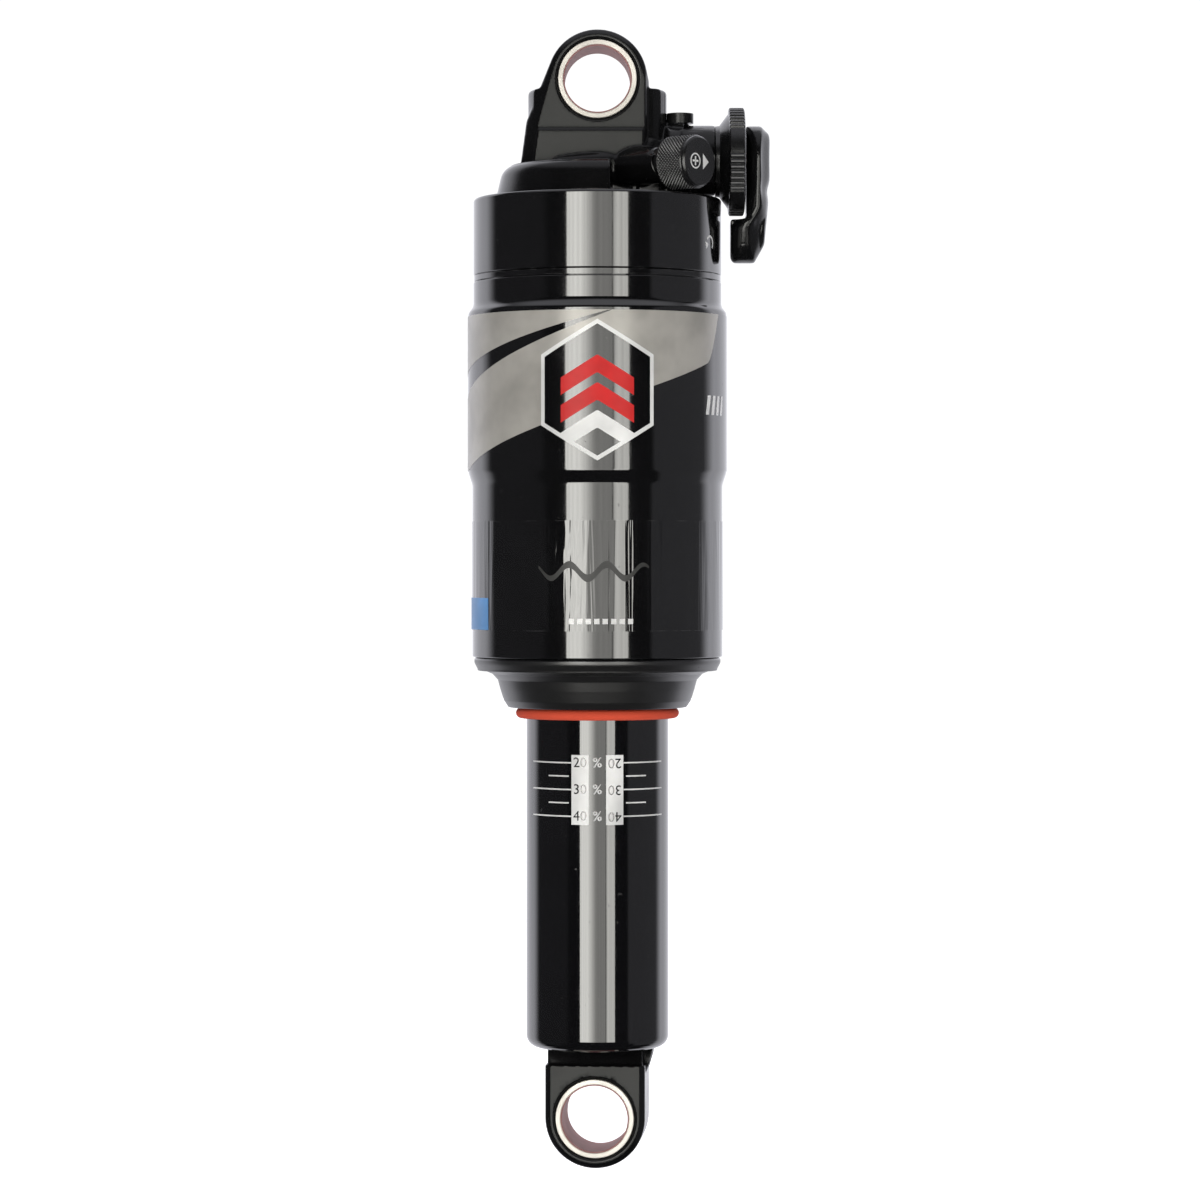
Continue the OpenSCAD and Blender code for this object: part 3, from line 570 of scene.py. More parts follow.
@dataclass(frozen=True)
class Finish:
    """A solid finish with smears, specks, grain or streaks, and a painted highlight of lighter grey on its edges."""

    name: str
    colour: Colour
    roughness: float = 0.3
    metallic: float = 0.0
    ior: float = 1.5
    smear: float = 0.06
    speck: float = 0.02
    grain: float = 0.0
    grain_scale: float = 2500.0
    streak: float = 0.0
    streak_scale: float = 260.0
    streak_axis: Axis = Axis.ALONG
    streak_wander: float = 0.3
    streak_ratio: float = 0.03
    streak_depth: float = 0.0001
    # strength of the painted edge highlight, a lighter grey on the edges
    edge: float = 0.0
    sheen: float = 0.0

    def build(self) -> bpy.types.Material:
        """Returns the material, made once per finish."""
        if self.name in bpy.data.materials:
            return bpy.data.materials[self.name]
        material, g, shader = new_material(self.name)
        for socket, value in (("Metallic", self.metallic), ("IOR", self.ior), ("Sheen Weight", self.sheen)):
            shader.inputs[socket].default_value = value
        where = g.place()
        handling = g.node("ShaderNodeGroup", {"node_tree": handling_group()}, Vector=where)
        g.wire(shader.inputs["Roughness"], self.rough(g, handling, self.roughness))
        g.wire(shader.inputs["Base Color"], self.paint(g, where, handling))
        self.relief(g, shader, where)
        return material

    def rough(self, g: Graph, handling: bpy.types.Node, base: object) -> bpy.types.NodeSocket:
        """Raises the roughness where the surface was handled.

        Args:
            g: the material's graph.
            handling: the node of smears and specks.
            base: roughness of the clean surface.

        Returns:
            The roughness.
        """
        smeared = g.math("MULTIPLY_ADD", handling.outputs["Smear"], self.smear, base)
        return g.math("MULTIPLY_ADD", handling.outputs["Speck"], SPECK_ROUGHNESS, smeared)

    def paint(self, g: Graph, where: bpy.types.NodeSocket, handling: bpy.types.Node) -> bpy.types.NodeSocket:
        """Colours the surface with its drift, specks and painted edge highlights.

        Args:
            g: the material's graph.
            where: the place on the object.
            handling: the node of smears and specks.

        Returns:
            The base colour.
        """
        drift = g.remap(g.noise(where, 90.0), 0.3, 0.7, 0.82, 1.12)
        tint = g.node("ShaderNodeVectorMath", {"operation": "SCALE"}, Scale=drift)
        tint.inputs[0].default_value = self.colour
        share = g.math("MULTIPLY", handling.outputs["Speck"], self.speck)
        dusty = g.mix(share, tint.outputs[0], DUST)
        if self.edge <= 0:
            return dusty
        # Painted highlight: lighter grey mixed in along the edges.
        painted_highlight = g.node("ShaderNodeGroup", {"node_tree": edge_group()}, Vector=where)
        return g.mix(g.math("MULTIPLY", painted_highlight.outputs["Mask"], self.edge), dusty, EDGE_HIGHLIGHT_GREY)

    def relief(self, g: Graph, shader: bpy.types.Node, where: bpy.types.NodeSocket) -> None:
        """Wires grain and streaks into the shader's normal.

        Args:
            g: the material's graph.
            shader: its Principled shader.
            where: the place on the object.
        """
        layers = []
        if self.grain > 0:
            layers.append((self.grain, GRAIN_DEPTH, g.noise(where, self.grain_scale, 2.0)))
        if self.streak > 0:
            thin = self.streak_ratio
            scale = (1.0, 1.0, thin) if self.streak_axis is Axis.ALONG else (thin, thin, 1.0)
            lines = g.node("ShaderNodeGroup", {"node_tree": streak_group()}, Vector=g.stretch(where, scale),
                           Scale=self.streak_scale, Wander=self.streak_wander)
            layers.append((self.streak, self.streak_depth, lines.outputs["Height"]))
        normal = None
        for strength, depth, height in layers:
            bump = g.node("ShaderNodeBump", None, Strength=strength, Distance=depth, Height=height)
            if normal is not None:
                g.wire(bump.inputs["Normal"], normal)
            normal = bump.outputs[0]
        if normal is not None:
            g.wire(shader.inputs["Normal"], normal)


@dataclass(frozen=True)
class CastFinish(Finish):
    """Gloss finish whose marked points, kept on the mesh as machined_and_painted_peak_highlight, take another
    roughness and colour: machined and satin faces, and painted highlights on ridge and knurl peaks.
    """

    # colour of the marked points: that of machined and satin faces, and a painted highlight colour on ridge and knurl
    # peaks
    face_colour: Colour = (0.026, 0.027, 0.025)
    face_roughness: float = 0.46

    def rough(self, g: Graph, handling: bpy.types.Node, base: object) -> bpy.types.NodeSocket:
        """Raises the roughness on the marked points: machined faces and painted peak highlights.

        Args:
            g: the material's graph.
            handling: the node of smears and specks.
            base: roughness of the other faces; not used.

        Returns:
            The roughness.
        """
        face = g.node("ShaderNodeAttribute", {"attribute_name": "machined_and_painted_peak_highlight"}).outputs["Fac"]
        ground = g.remap(face, 0.0, 1.0, self.roughness, self.face_roughness)
        return super().rough(g, handling, ground)

    def paint(self, g: Graph, where: bpy.types.NodeSocket, handling: bpy.types.Node) -> bpy.types.NodeSocket:
        """Returns the base colour, lighter on the marked points: machined faces, and painted highlights on ridge and
        knurl peaks.
        """
        face = g.node("ShaderNodeAttribute", {"attribute_name": "machined_and_painted_peak_highlight"}).outputs["Fac"]
        return g.mix(face, super().paint(g, where, handling), (*self.face_colour, 1))


CAN_BLACK = CastFinish("gloss_and_satin_black", (0.0045, 0.0045, 0.005), 0.07, ior=2.0, smear=0.03, streak=0.04,
                       streak_scale=420.0, edge=0.3, face_colour=(0.011, 0.011, 0.0115), face_roughness=0.36)
GLOSS_BLACK = Finish("gloss_black_anodised", (0.0045, 0.0045, 0.005), 0.07, ior=2.0, smear=0.03, streak=0.04,
                     streak_scale=420.0, edge=0.3)
TUBE_BLACK = Finish("polished_black_tube", (0.004, 0.004, 0.0048), 0.06, ior=2.0, smear=0.03, streak=0.025,
                    streak_scale=500.0)
CASTING = CastFinish("black_casting", (0.005, 0.005, 0.0055), 0.19, ior=1.5, smear=0.06, grain=0.08,
                     grain_scale=1600.0, edge=0.25)
DARK_ALLOY = Finish("satin_black_alloy", (0.007, 0.007, 0.0075), 0.3, ior=1.5, smear=0.08, grain=0.1, edge=0.4)
# Painted highlight: light grey on the marked peaks of the dial's ridges and the cap's knurl, standing in for light
# glinting on them.
PEAK_HIGHLIGHT_ALLOY = CastFinish("black_alloy_with_painted_peak_highlights", (0.006, 0.006, 0.0065), 0.24, ior=1.8, smear=0.05, edge=0.3,
                     face_colour=(0.15, 0.15, 0.152), face_roughness=0.3)
DARK_MOULDING = Finish("black_moulding", (0.006, 0.006, 0.0065), 0.17, smear=0.08, grain=0.06, grain_scale=1200.0)
BRIGHT_STEEL = Finish("turned_steel", (0.80, 0.76, 0.70), 0.28, metallic=1.0, smear=0.1, streak=0.15,
                      streak_axis=Axis.ROUND)
RING_STEEL = Finish("turned_ring", (0.92, 0.875, 0.79), 0.34, metallic=0.25, smear=0.05, streak=0.05,
                    streak_axis=Axis.ROUND)
CHROME = Finish("hard_chrome", (0.82, 0.82, 0.84), 0.08, metallic=1.0, streak=0.03)
ALLOY = Finish("machined_alloy", (0.66, 0.66, 0.68), 0.26, metallic=1.0, streak=0.12, streak_axis=Axis.ROUND)
LINER = Finish("mauve_liner", (0.42, 0.205, 0.195), 0.5, ior=1.25, smear=0.12, streak=0.1, grain=0.06)
BLACK_RUBBER = Finish("black_rubber", (0.012, 0.012, 0.012), 0.55, grain=0.2, sheen=0.1)
RED_RUBBER = Finish("red_rubber", (0.94, 0.072, 0.042), 0.36, smear=0.1, speck=0.1, grain=0.06)
BUMPER = Finish("cream_elastomer", (0.62, 0.54, 0.36), 0.6, grain=0.15)
BEARING = Finish("bronze_filled_tape", (0.22, 0.14, 0.08), 0.5, grain=0.1, speck=0.3)
WHITE_PLASTIC = Finish("white_bearing_plastic", (0.74, 0.73, 0.68), 0.45, grain=0.05)
BRASS = Finish("plated_brass", (0.74, 0.52, 0.22), 0.25, metallic=1.0, smear=0.12, streak=0.08)
UPPER_FILM = Finish("gloss_black_film", (0.0045, 0.0045, 0.005), 0.06, ior=2.0, smear=0.02, streak=0.2,
                    streak_scale=230.0, streak_wander=0.8)
LOWER_FILM = Finish("clear_film_over_black", (0.005, 0.005, 0.0055), 0.05, ior=2.0, smear=0.02, streak=0.5,
                    streak_scale=240.0, streak_wander=0.8, streak_ratio=0.06, streak_depth=0.00045, edge=0.3)
WHITE_PRINT = Finish("white_print", (0.93, 0.93, 0.91), 0.3, ior=1.7, smear=0.06)
RED_PRINT = Finish("red_print", (0.80, 0.02, 0.02), 0.3, ior=1.3, smear=0.06)
GREY_PRINT = Finish("warm_silver_print", (0.50, 0.48, 0.44), 0.3, metallic=0.15, smear=0.06, grain=0.05)
DIM_PRINT = Finish("dim_grey_print", (0.045, 0.045, 0.043), 0.35, ior=1.45, smear=0.05)
BLACK_PRINT = Finish("black_print", (0.0045, 0.0045, 0.005), 0.08, ior=2.0)
BLUE_PAPER = Finish("blue_paper", (0.11, 0.37, 0.80), 0.4, smear=0.05, grain=0.05)


def dress(node: str, finish: Finish) -> None:
    """Gives a frame node its finish."""
    data = frame["nodes"][node].data
    data.materials.clear()
    data.materials.append(finish.build())


def place(piece: bpy.types.Object, body: Body, slot: str, finish: Finish, *replaced: str) -> bpy.types.Object:
    """Gives a new piece its finish and body, and hides the frame nodes that it stands for.

    Args:
        piece: the new piece.
        body: the body that it rides on.
        slot: the record's material slot; not used.
        finish: its finish.
        replaced: frame nodes that it replaces.

    Returns:
        The piece.
    """
    piece.data.materials.clear()
    piece.data.materials.append(finish.build())
    if replaced:
        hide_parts(*replaced)
    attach(piece, body.value)
    LOG.info("%s: %d faces on %s", piece.name, len(piece.data.polygons), body.value)
    return piece


# ---- prints that follow a cylinder ----


@dataclass
class Wrap:
    """A place on a cylinder about Z for thin prints. Angle 0 faces -Y, and positive angles go towards +X."""

    radius: float
    lift: float = 0.015
    thickness: float = 0.012

    def bend(self, across: np.ndarray, up: np.ndarray) -> tuple[np.ndarray, np.ndarray]:
        """Carries flat places onto the cylinder: the distance across becomes an arc of the same length.

        Args:
            across: distance round the cylinder, in millimetres.
            up: height, in millimetres.

        Returns:
            Points on the cylinder and the outward direction at each.
        """
        turn = across / self.radius
        outwards = np.stack([np.sin(turn), -np.cos(turn), 0 * turn], -1)
        points = outwards * (self.radius + self.lift)
        points[..., 2] = up
        return points, outwards

    def band(self, name: str, starts: np.ndarray, ends: np.ndarray, rows: int = 8) -> bpy.types.Object:
        """Makes the print between two curves, its rows spaced evenly from one curve to the other.

        Args:
            name: the piece's name.
            starts: array (points, 2) of (across, up) along the first curve.
            ends: array of the same shape along the second curve.
            rows: number of rows between the curves.

        Returns:
            The new piece.
        """
        share = np.linspace(0, 1, rows)[:, None, None]
        flat = starts[None] * (1 - share) + ends[None] * share
        points, outwards = self.bend(flat[..., 0], flat[..., 1])
        return plate(name, points, self.thickness, outwards)

    def strip(self, name: str, across: np.ndarray, first: object, second: object, rows: int = 8) -> bpy.types.Object:
        """Makes the print between two heights at each distance across.

        Args:
            name: the piece's name.
            across: distances round the cylinder.
            first: a height, or one for each distance.
            second: the same for the other side.
            rows: number of rows between the sides.

        Returns:
            The new piece.
        """
        edges = (np.stack([across, 0 * across + height], -1) for height in (first, second))
        return self.band(name, *edges, rows)

    def box(self, name: str, across: Span, up: Span) -> bpy.types.Object:
        """Makes a print with straight sides.

        Args:
            name: the piece's name.
            across: where it starts and ends round the cylinder.
            up: its two heights.

        Returns:
            The new piece.
        """
        steps = np.linspace(*across, max(3, int(abs(across[1] - across[0]) / 0.4)))
        return self.strip(name, steps, *up, 4)

    def bar(self, name: str, left: float, width: float, up: Span, lean: float = 0.0) -> bpy.types.Object:
        """Makes a print with level ends, which may lean.

        Args:
            name: the piece's name.
            left: where its first end starts round the cylinder.
            width: its width.
            up: heights of its ends.
            lean: how far its second end is moved aside.

        Returns:
            The new piece.
        """
        level = np.array([left, left + width])
        edges = (np.stack([level + aside, 0 * level + height], -1) for height, aside in zip(up, (0.0, lean)))
        return self.band(name, *edges, 3)

    def outline(self, name: str, corners: np.ndarray, width: float) -> bpy.types.Object:
        """Makes a closed line of even width inside an outline.

        Args:
            name: the piece's name.
            corners: array (corners, 2) of the outline, about a centre.
            width: width of the line.

        Returns:
            The new piece.
        """
        centre = corners.mean(0)
        loop = np.vstack([corners, corners[:1]])
        steps = np.linspace(0, len(corners), 12 * len(corners) + 1)
        outer = np.stack([np.interp(steps, np.arange(len(loop)), loop[:, k]) for k in (0, 1)], -1)
        reach = np.linalg.norm(corners - centre, axis=1).min()
        inner = centre + (outer - centre) * (1 - width / reach)
        return self.band(name, outer, inner, 3)

    def text(self, name: str, words: str, size: float, across: float, up: float, turned: bool = False,
             weight: float = 0.0) -> bpy.types.Object:
        """Makes generic figures on the cylinder.

        Args:
            name: the piece's name.
            words: the figures.
            size: height of the letters, in millimetres.
            across: where their middle is round the cylinder.
            up: height of their middle.
            turned: whether they are upside down.
            weight: how far the strokes are widened, as a share of the size.

        Returns:
            The new piece.
        """
        curve = bpy.data.curves.new(name, "FONT")
        curve.body, curve.size, curve.offset, curve.resolution_u = words, size, weight * size, 3
        curve.align_x, curve.align_y = "CENTER", "CENTER"
        maker = add_object(name, curve)
        view = bpy.context.evaluated_depsgraph_get()
        data = bpy.data.meshes.new_from_object(maker.evaluated_get(view))
        bpy.data.objects.remove(maker)
        mesh = bmesh.new()
        mesh.from_mesh(data)
        bmesh.ops.remove_doubles(mesh, verts=mesh.verts, dist=1e-5)
        made = bmesh.ops.extrude_face_region(mesh, geom=mesh.faces[:])
        lifted = [v for v in made["geom"] if isinstance(v, bmesh.types.BMVert)]
        bmesh.ops.translate(mesh, verts=lifted, vec=(0, 0, self.thickness))
        bmesh.ops.recalc_face_normals(mesh, faces=mesh.faces)
        mesh.to_mesh(data)
        mesh.free()
        flat = read_triples(data.vertices, "co")
        flip = -1.0 if turned else 1.0
        points, outwards = self.bend(across + flip * flat[:, 0], up + flip * flat[:, 1])
        move_points(data, points + outwards * flat[:, 2:])
        return add_object(name, data)


# ---- sub-assemblies ----


@dataclass
class AirCan:
    """The air can, its sleeve, their seam lines and the films and prints on them."""

    film: float = 0.1
    badge_half: float = 10.9
    badge_tall: float = 13.3
    badge_line: float = 0.85
    chevron_half: float = 6.95
    chevron_slope: float = 0.62
    chevron_thick: float = 3.3
    bar_foot: float = -64.9
    bar_head: float = -61.2

    def __post_init__(self) -> None:
        """Reads the heights and radii from the frame."""
        self.foot, self.top = ends("air_can")
        self.sleeve_foot, self.sleeve_top = ends("outer_sleeve")
        label_foot, label_top = ends("upper_label")
        self.belly_foot, self.belly_top = label_foot - 0.2, label_top + 0.7
        self.belly_r, self.can_r, self.tube_r = (radius(n) for n in ("outer_sleeve", "air_can", "damper_tube"))

    def build(self) -> None:
        """Builds the shells, then the films and prints."""
        self.can_shell()
        self.sleeve_shell()
        for node, finish in (("sleeve_retaining_ring", GLOSS_BLACK), ("upper_label", UPPER_FILM),
                             ("lower_label", LOWER_FILM), ("side_sticker", BLUE_PAPER)):
            dress(node, finish)
        self.sweeps()
        self.emblem()
        self.side_bars()
        self.lower_prints()
        self.turn_arrow()

    def print_on(self, piece: bpy.types.Object, finish: Finish, slot: str = "upper_label") -> None:
        """Places a print that rides on the can."""
        place(piece, Body.HEAD, slot, finish)

    def can_shell(self) -> None:
        """Inner can: shouldered top, thin wall under the sleeve, and the scooped collar around the wiper."""
        shoulder = high("sleeve_retaining_ring")[2] + 0.2
        thread_r = radius("head_oring") + 0.05
        bore_r = radius("volume_spacer") + 0.2
        wall_r, land_r = bore_r + 1.7, self.can_r - 1.6
        rim = self.sleeve_foot - 2.25
        scoop_r = 3.6
        scoop = [(self.tube_r + 5.05 + scoop_r * (1 - math.cos(a)), rim - 4.0 + scoop_r * math.sin(a), 0.3)
                 for a in np.radians((80, 55, 30, 0))]
        glands = [(self.tube_r + out, self.foot + up, 0.1) for out, up in (
            (2.6, 0.0), (2.6, 3.4), (1.0, 3.4), (1.0, 4.2), (2.6, 4.2), (2.6, 9.0), (1.0, 9.0), (1.0, 9.6),
            (2.2, 9.6), (2.2, 15.0))]
        corners = [
            (thread_r, self.top, 0.15), (self.can_r - 0.25, self.top, 0.4), (self.can_r, self.top - 0.45, 0.4),
            (self.can_r, shoulder, 0.18), (land_r, shoulder, 0.1), (land_r, self.sleeve_top - 5.8, 0.5),
            (wall_r, self.sleeve_top - 7.3, 0.5), (wall_r, self.sleeve_foot + 7.3, 0.5),
            (land_r, self.sleeve_foot + 5.8, 0.5), (land_r, self.sleeve_foot, 0.1),
            (self.can_r - 0.2, self.sleeve_foot, 1.1), (self.can_r - 0.15, self.sleeve_foot - 1.1, 1.2),
            (self.can_r - 0.75, rim, 0.9), (self.can_r - 0.85, rim - 0.4, 0.15), *scoop,
            (self.tube_r + 4.35, self.foot + 1.3, 0.3), (self.tube_r + 3.5, self.foot, 0.3), *glands,
            (bore_r, self.foot + 15.0, 0.2), (bore_r, self.top - 10.5, 0.2), (thread_r, self.top - 10.5, 0.2),
        ]
        piece = revolve("can_shell", fillet_loop(corners))
        store(piece, "machined_and_painted_peak_highlight", ramp(point_array(piece)[:, 2], self.sleeve_foot - 0.2, self.sleeve_foot - 0.7))
        place(piece, Body.HEAD, "black_anodised", CAN_BLACK, "air_can")

    def sleeve_shell(self) -> None:
        """Outer sleeve: neck, belly and skirt with softly rounded shoulders."""
        inner = self.can_r - 1.55
        skirt_r = self.can_r + 0.2
        hollow = self.belly_r - 1.5
        corners = [
            (inner, self.sleeve_top, 0.1), (self.can_r, self.sleeve_top, 0.22),
            (self.can_r, self.belly_top + 1.3, 2.0), (self.belly_r, self.belly_top, 1.2),
            (self.belly_r, self.belly_foot, 2.5), (skirt_r, self.belly_foot - 2.5, 3.0),
            (skirt_r, self.sleeve_foot, 0.25), (inner, self.sleeve_foot, 0.1),
            (inner, self.belly_foot - 1.0, 0.4), (hollow, self.belly_foot + 1.5, 0.4),
            (hollow, self.belly_top - 2.5, 0.4), (inner, self.belly_top - 3.8, 0.4),
        ]
        piece = revolve("sleeve_shell", fillet_loop(corners, 8))
        place(piece, Body.HEAD, "black_anodised", GLOSS_BLACK, "outer_sleeve")

    def wrap(self, lift: float) -> Wrap:
        """Returns the surface of the upper film, a little above it."""
        return Wrap(self.belly_r + self.film, lift)

    def sweeps(self) -> None:
        """Two slanted silver bands round the belly with a black gap between them, the lower one hooked upwards."""
        wrap = self.wrap(0.015)
        per_degree = wrap.radius * math.pi / 180
        ceiling, floor_z = self.belly_top - 0.75, self.belly_foot + 0.3
        least = 0.05
        angle = np.linspace(-100, 8, 80)
        gap = np.minimum(self.belly_top - 1.4 + 0.122 * angle, ceiling - least)
        self.print_on(wrap.strip("band_upper", angle * per_degree, ceiling, gap), GREY_PRINT)
        angle = np.linspace(-100, 67, 120)
        start = np.minimum(ceiling, self.belly_top - 1.9 + 0.17 * angle)
        hook = np.clip((angle - 57) / 10, 0, 1) ** 1.6
        foot = self.belly_top - 18.7 + 0.148 * angle
        foot = np.minimum(np.maximum(foot, floor_z) + (ceiling - foot) * hook, start - least)
        self.print_on(wrap.strip("band_lower", angle * per_degree, start, foot, 16), GREY_PRINT)

    def emblem(self) -> None:
        """A plain six-sided badge with stacked chevrons, their feet cut off along the badge's lower edges."""
        centre = (self.belly_top + self.belly_foot) / 2 - 0.4
        half, tall = self.badge_half, self.badge_tall
        corners = np.array([[0, tall], [half, tall / 2], [half, -tall / 2], [0, -tall], [-half, -tall / 2],
                            [-half, tall / 2]]) + [0, centre]
        spread = np.linspace(-half, half, 60)
        roof = tall - tall / 2 * np.abs(spread) / half
        self.print_on(self.wrap(0.03).strip("badge_ground", spread, centre - roof, centre + roof, 16), BLACK_PRINT)
        marks = self.wrap(0.045)
        self.print_on(marks.outline("badge_line", corners, self.badge_line), WHITE_PRINT)
        arms = np.linspace(-self.chevron_half, self.chevron_half, 40)
        edge = centre - tall + tall / 2 * np.abs(arms) / half + self.badge_line
        for number, (height, finish) in enumerate(((6.6, RED_PRINT), (1.4, RED_PRINT), (-3.8, WHITE_PRINT)), 1):
            peak = centre + height - self.chevron_slope * np.abs(arms)
            foot = np.minimum(np.maximum(peak - self.chevron_thick, edge), peak - 0.04)
            self.print_on(marks.strip(f"badge_chevron_{number}", arms, foot, peak, 4), finish)

    def side_bars(self) -> None:
        """Slanted bars on the upper film."""
        wrap = self.wrap(0.03)
        up = (self.bar_foot, self.bar_head)
        bars = [wrap.bar(f"bar_{number}", 24.2 + 2.0 * number, 1.1, up, 0.7) for number in range(4)]
        self.print_on(joined("side_bars", bars), WHITE_PRINT)

    def lower_prints(self) -> None:
        """A row of dashes and a dim wave on the lower film."""
        lower = Wrap(float(-low("lower_label")[1]), 0.02)
        foot, head = ends("lower_label")
        row = head - 0.91 * (head - foot)
        dashes = [lower.bar(f"dash_{number}", 1.6 * number - 5.4, 1.0, (row - 0.5, row + 0.5))
                  for number in range(8)]
        self.print_on(joined("dash_row", dashes), WHITE_PRINT, "lower_label")
        spread = np.linspace(-11.5, 10.0, 90)
        crest = head - 0.46 * (head - foot) + 1.3 * np.sin(0.88 * spread)
        swell = 0.12 + 0.6 * np.sqrt(np.clip(1 - ((spread + 0.75) / 10.9) ** 2, 0, 1))
        self.print_on(lower.strip("ribbon_wave", spread, crest - swell, crest + swell, 4), DIM_PRINT, "lower_label")

    def turn_arrow(self) -> None:
        """A small bent arrow under the dial."""
        can = Wrap(self.can_r, 0.02)
        turn = np.radians(np.linspace(-40, 150, 24))
        ring = np.stack([np.cos(turn), np.sin(turn)], -1)
        centre = np.array([26.6, self.top - 9.2])
        shaft = can.band("arrow_shaft", centre + 1.5 * ring, centre + 1.1 * ring, 3)
        tip = can.band("arrow_tip", centre + [[-1.9, 0.2], [-0.6, -0.2]], centre + [[-1.5, -1.1], [-1.45, -1.15]], 3)
        self.print_on(joined("turn_arrow", [shaft, tip]), WHITE_PRINT, "black_anodised")


@dataclass
class DamperTube:
    """The polished tube with its sag scale, and the marker ring on it."""

    box_width: float = 3.4
    box_across: float = 3.35
    line: float = 0.27
    long_line: Span = (5.1, 15.2)
    short_line: Span = (5.6, 10.2)

    def __post_init__(self) -> None:
        """Reads the tube's surface, the can's foot and the travel from the frame."""
        self.wrap = Wrap(radius("damper_tube"))
        self.zero = ends("air_can")[0]
        self.stroke = joint("stroke")["range_m"][1] / MM

    def build(self) -> None:
        """Dresses the tube and prints its sag scale."""
        dress("damper_tube", TUBE_BLACK)
        dress("travel_ring", RED_RUBBER)
        self.boxes()
        self.lines()
        self.figures()

    def level(self, percent: float) -> float:
        """Returns the height of the line for a share of the travel."""
        return self.zero - self.stroke * percent / 100

    def print_on(self, name: str, pieces: list[bpy.types.Object], finish: Finish) -> None:
        """Places prints that ride on the tube, joined into one piece."""
        place(joined(name, pieces), Body.DAMPER, "tube_black", finish)

    def boxes(self) -> None:
        """Two white boxes behind the figures."""
        span = (self.level(40) - 1.6, self.level(20) + 1.5)
        half = self.box_width / 2
        pair = [self.wrap.box(f"box_{middle_x}", (middle_x - half, middle_x + half), span)
                for middle_x in (-self.box_across, self.box_across)]
        self.print_on("scale_boxes", pair, WHITE_PRINT)

    def lines(self) -> None:
        """Long lines at each tenth of the travel, short ones between them."""
        made = []
        for percent in (20, 25, 30, 35, 40):
            span = (self.level(percent) - self.line / 2, self.level(percent) + self.line / 2)
            near, far = self.short_line if percent % 10 else self.long_line
            for across in ((-far, -near), (near, far)):
                made.append(self.wrap.box(f"line_{percent}", across, span))
        self.print_on("scale_lines", made, WHITE_PRINT)

    def figures(self) -> None:
        """Black figures in the boxes and white percent signs between them."""
        ink = Wrap(self.wrap.radius, 0.03)
        numbers, signs = [], []
        for percent in (20, 30, 40):
            height = self.level(percent)
            for across in (-self.box_across, self.box_across):
                numbers.append(ink.text(f"figures_{percent}", str(percent), 2.7, across, height, across > 0))
            signs.append(ink.text(f"sign_{percent}", "%", 2.6, 0.0, height, weight=0.018))
        self.print_on("scale_figures", numbers, BLACK_PRINT)
        self.print_on("scale_signs", signs, WHITE_PRINT)


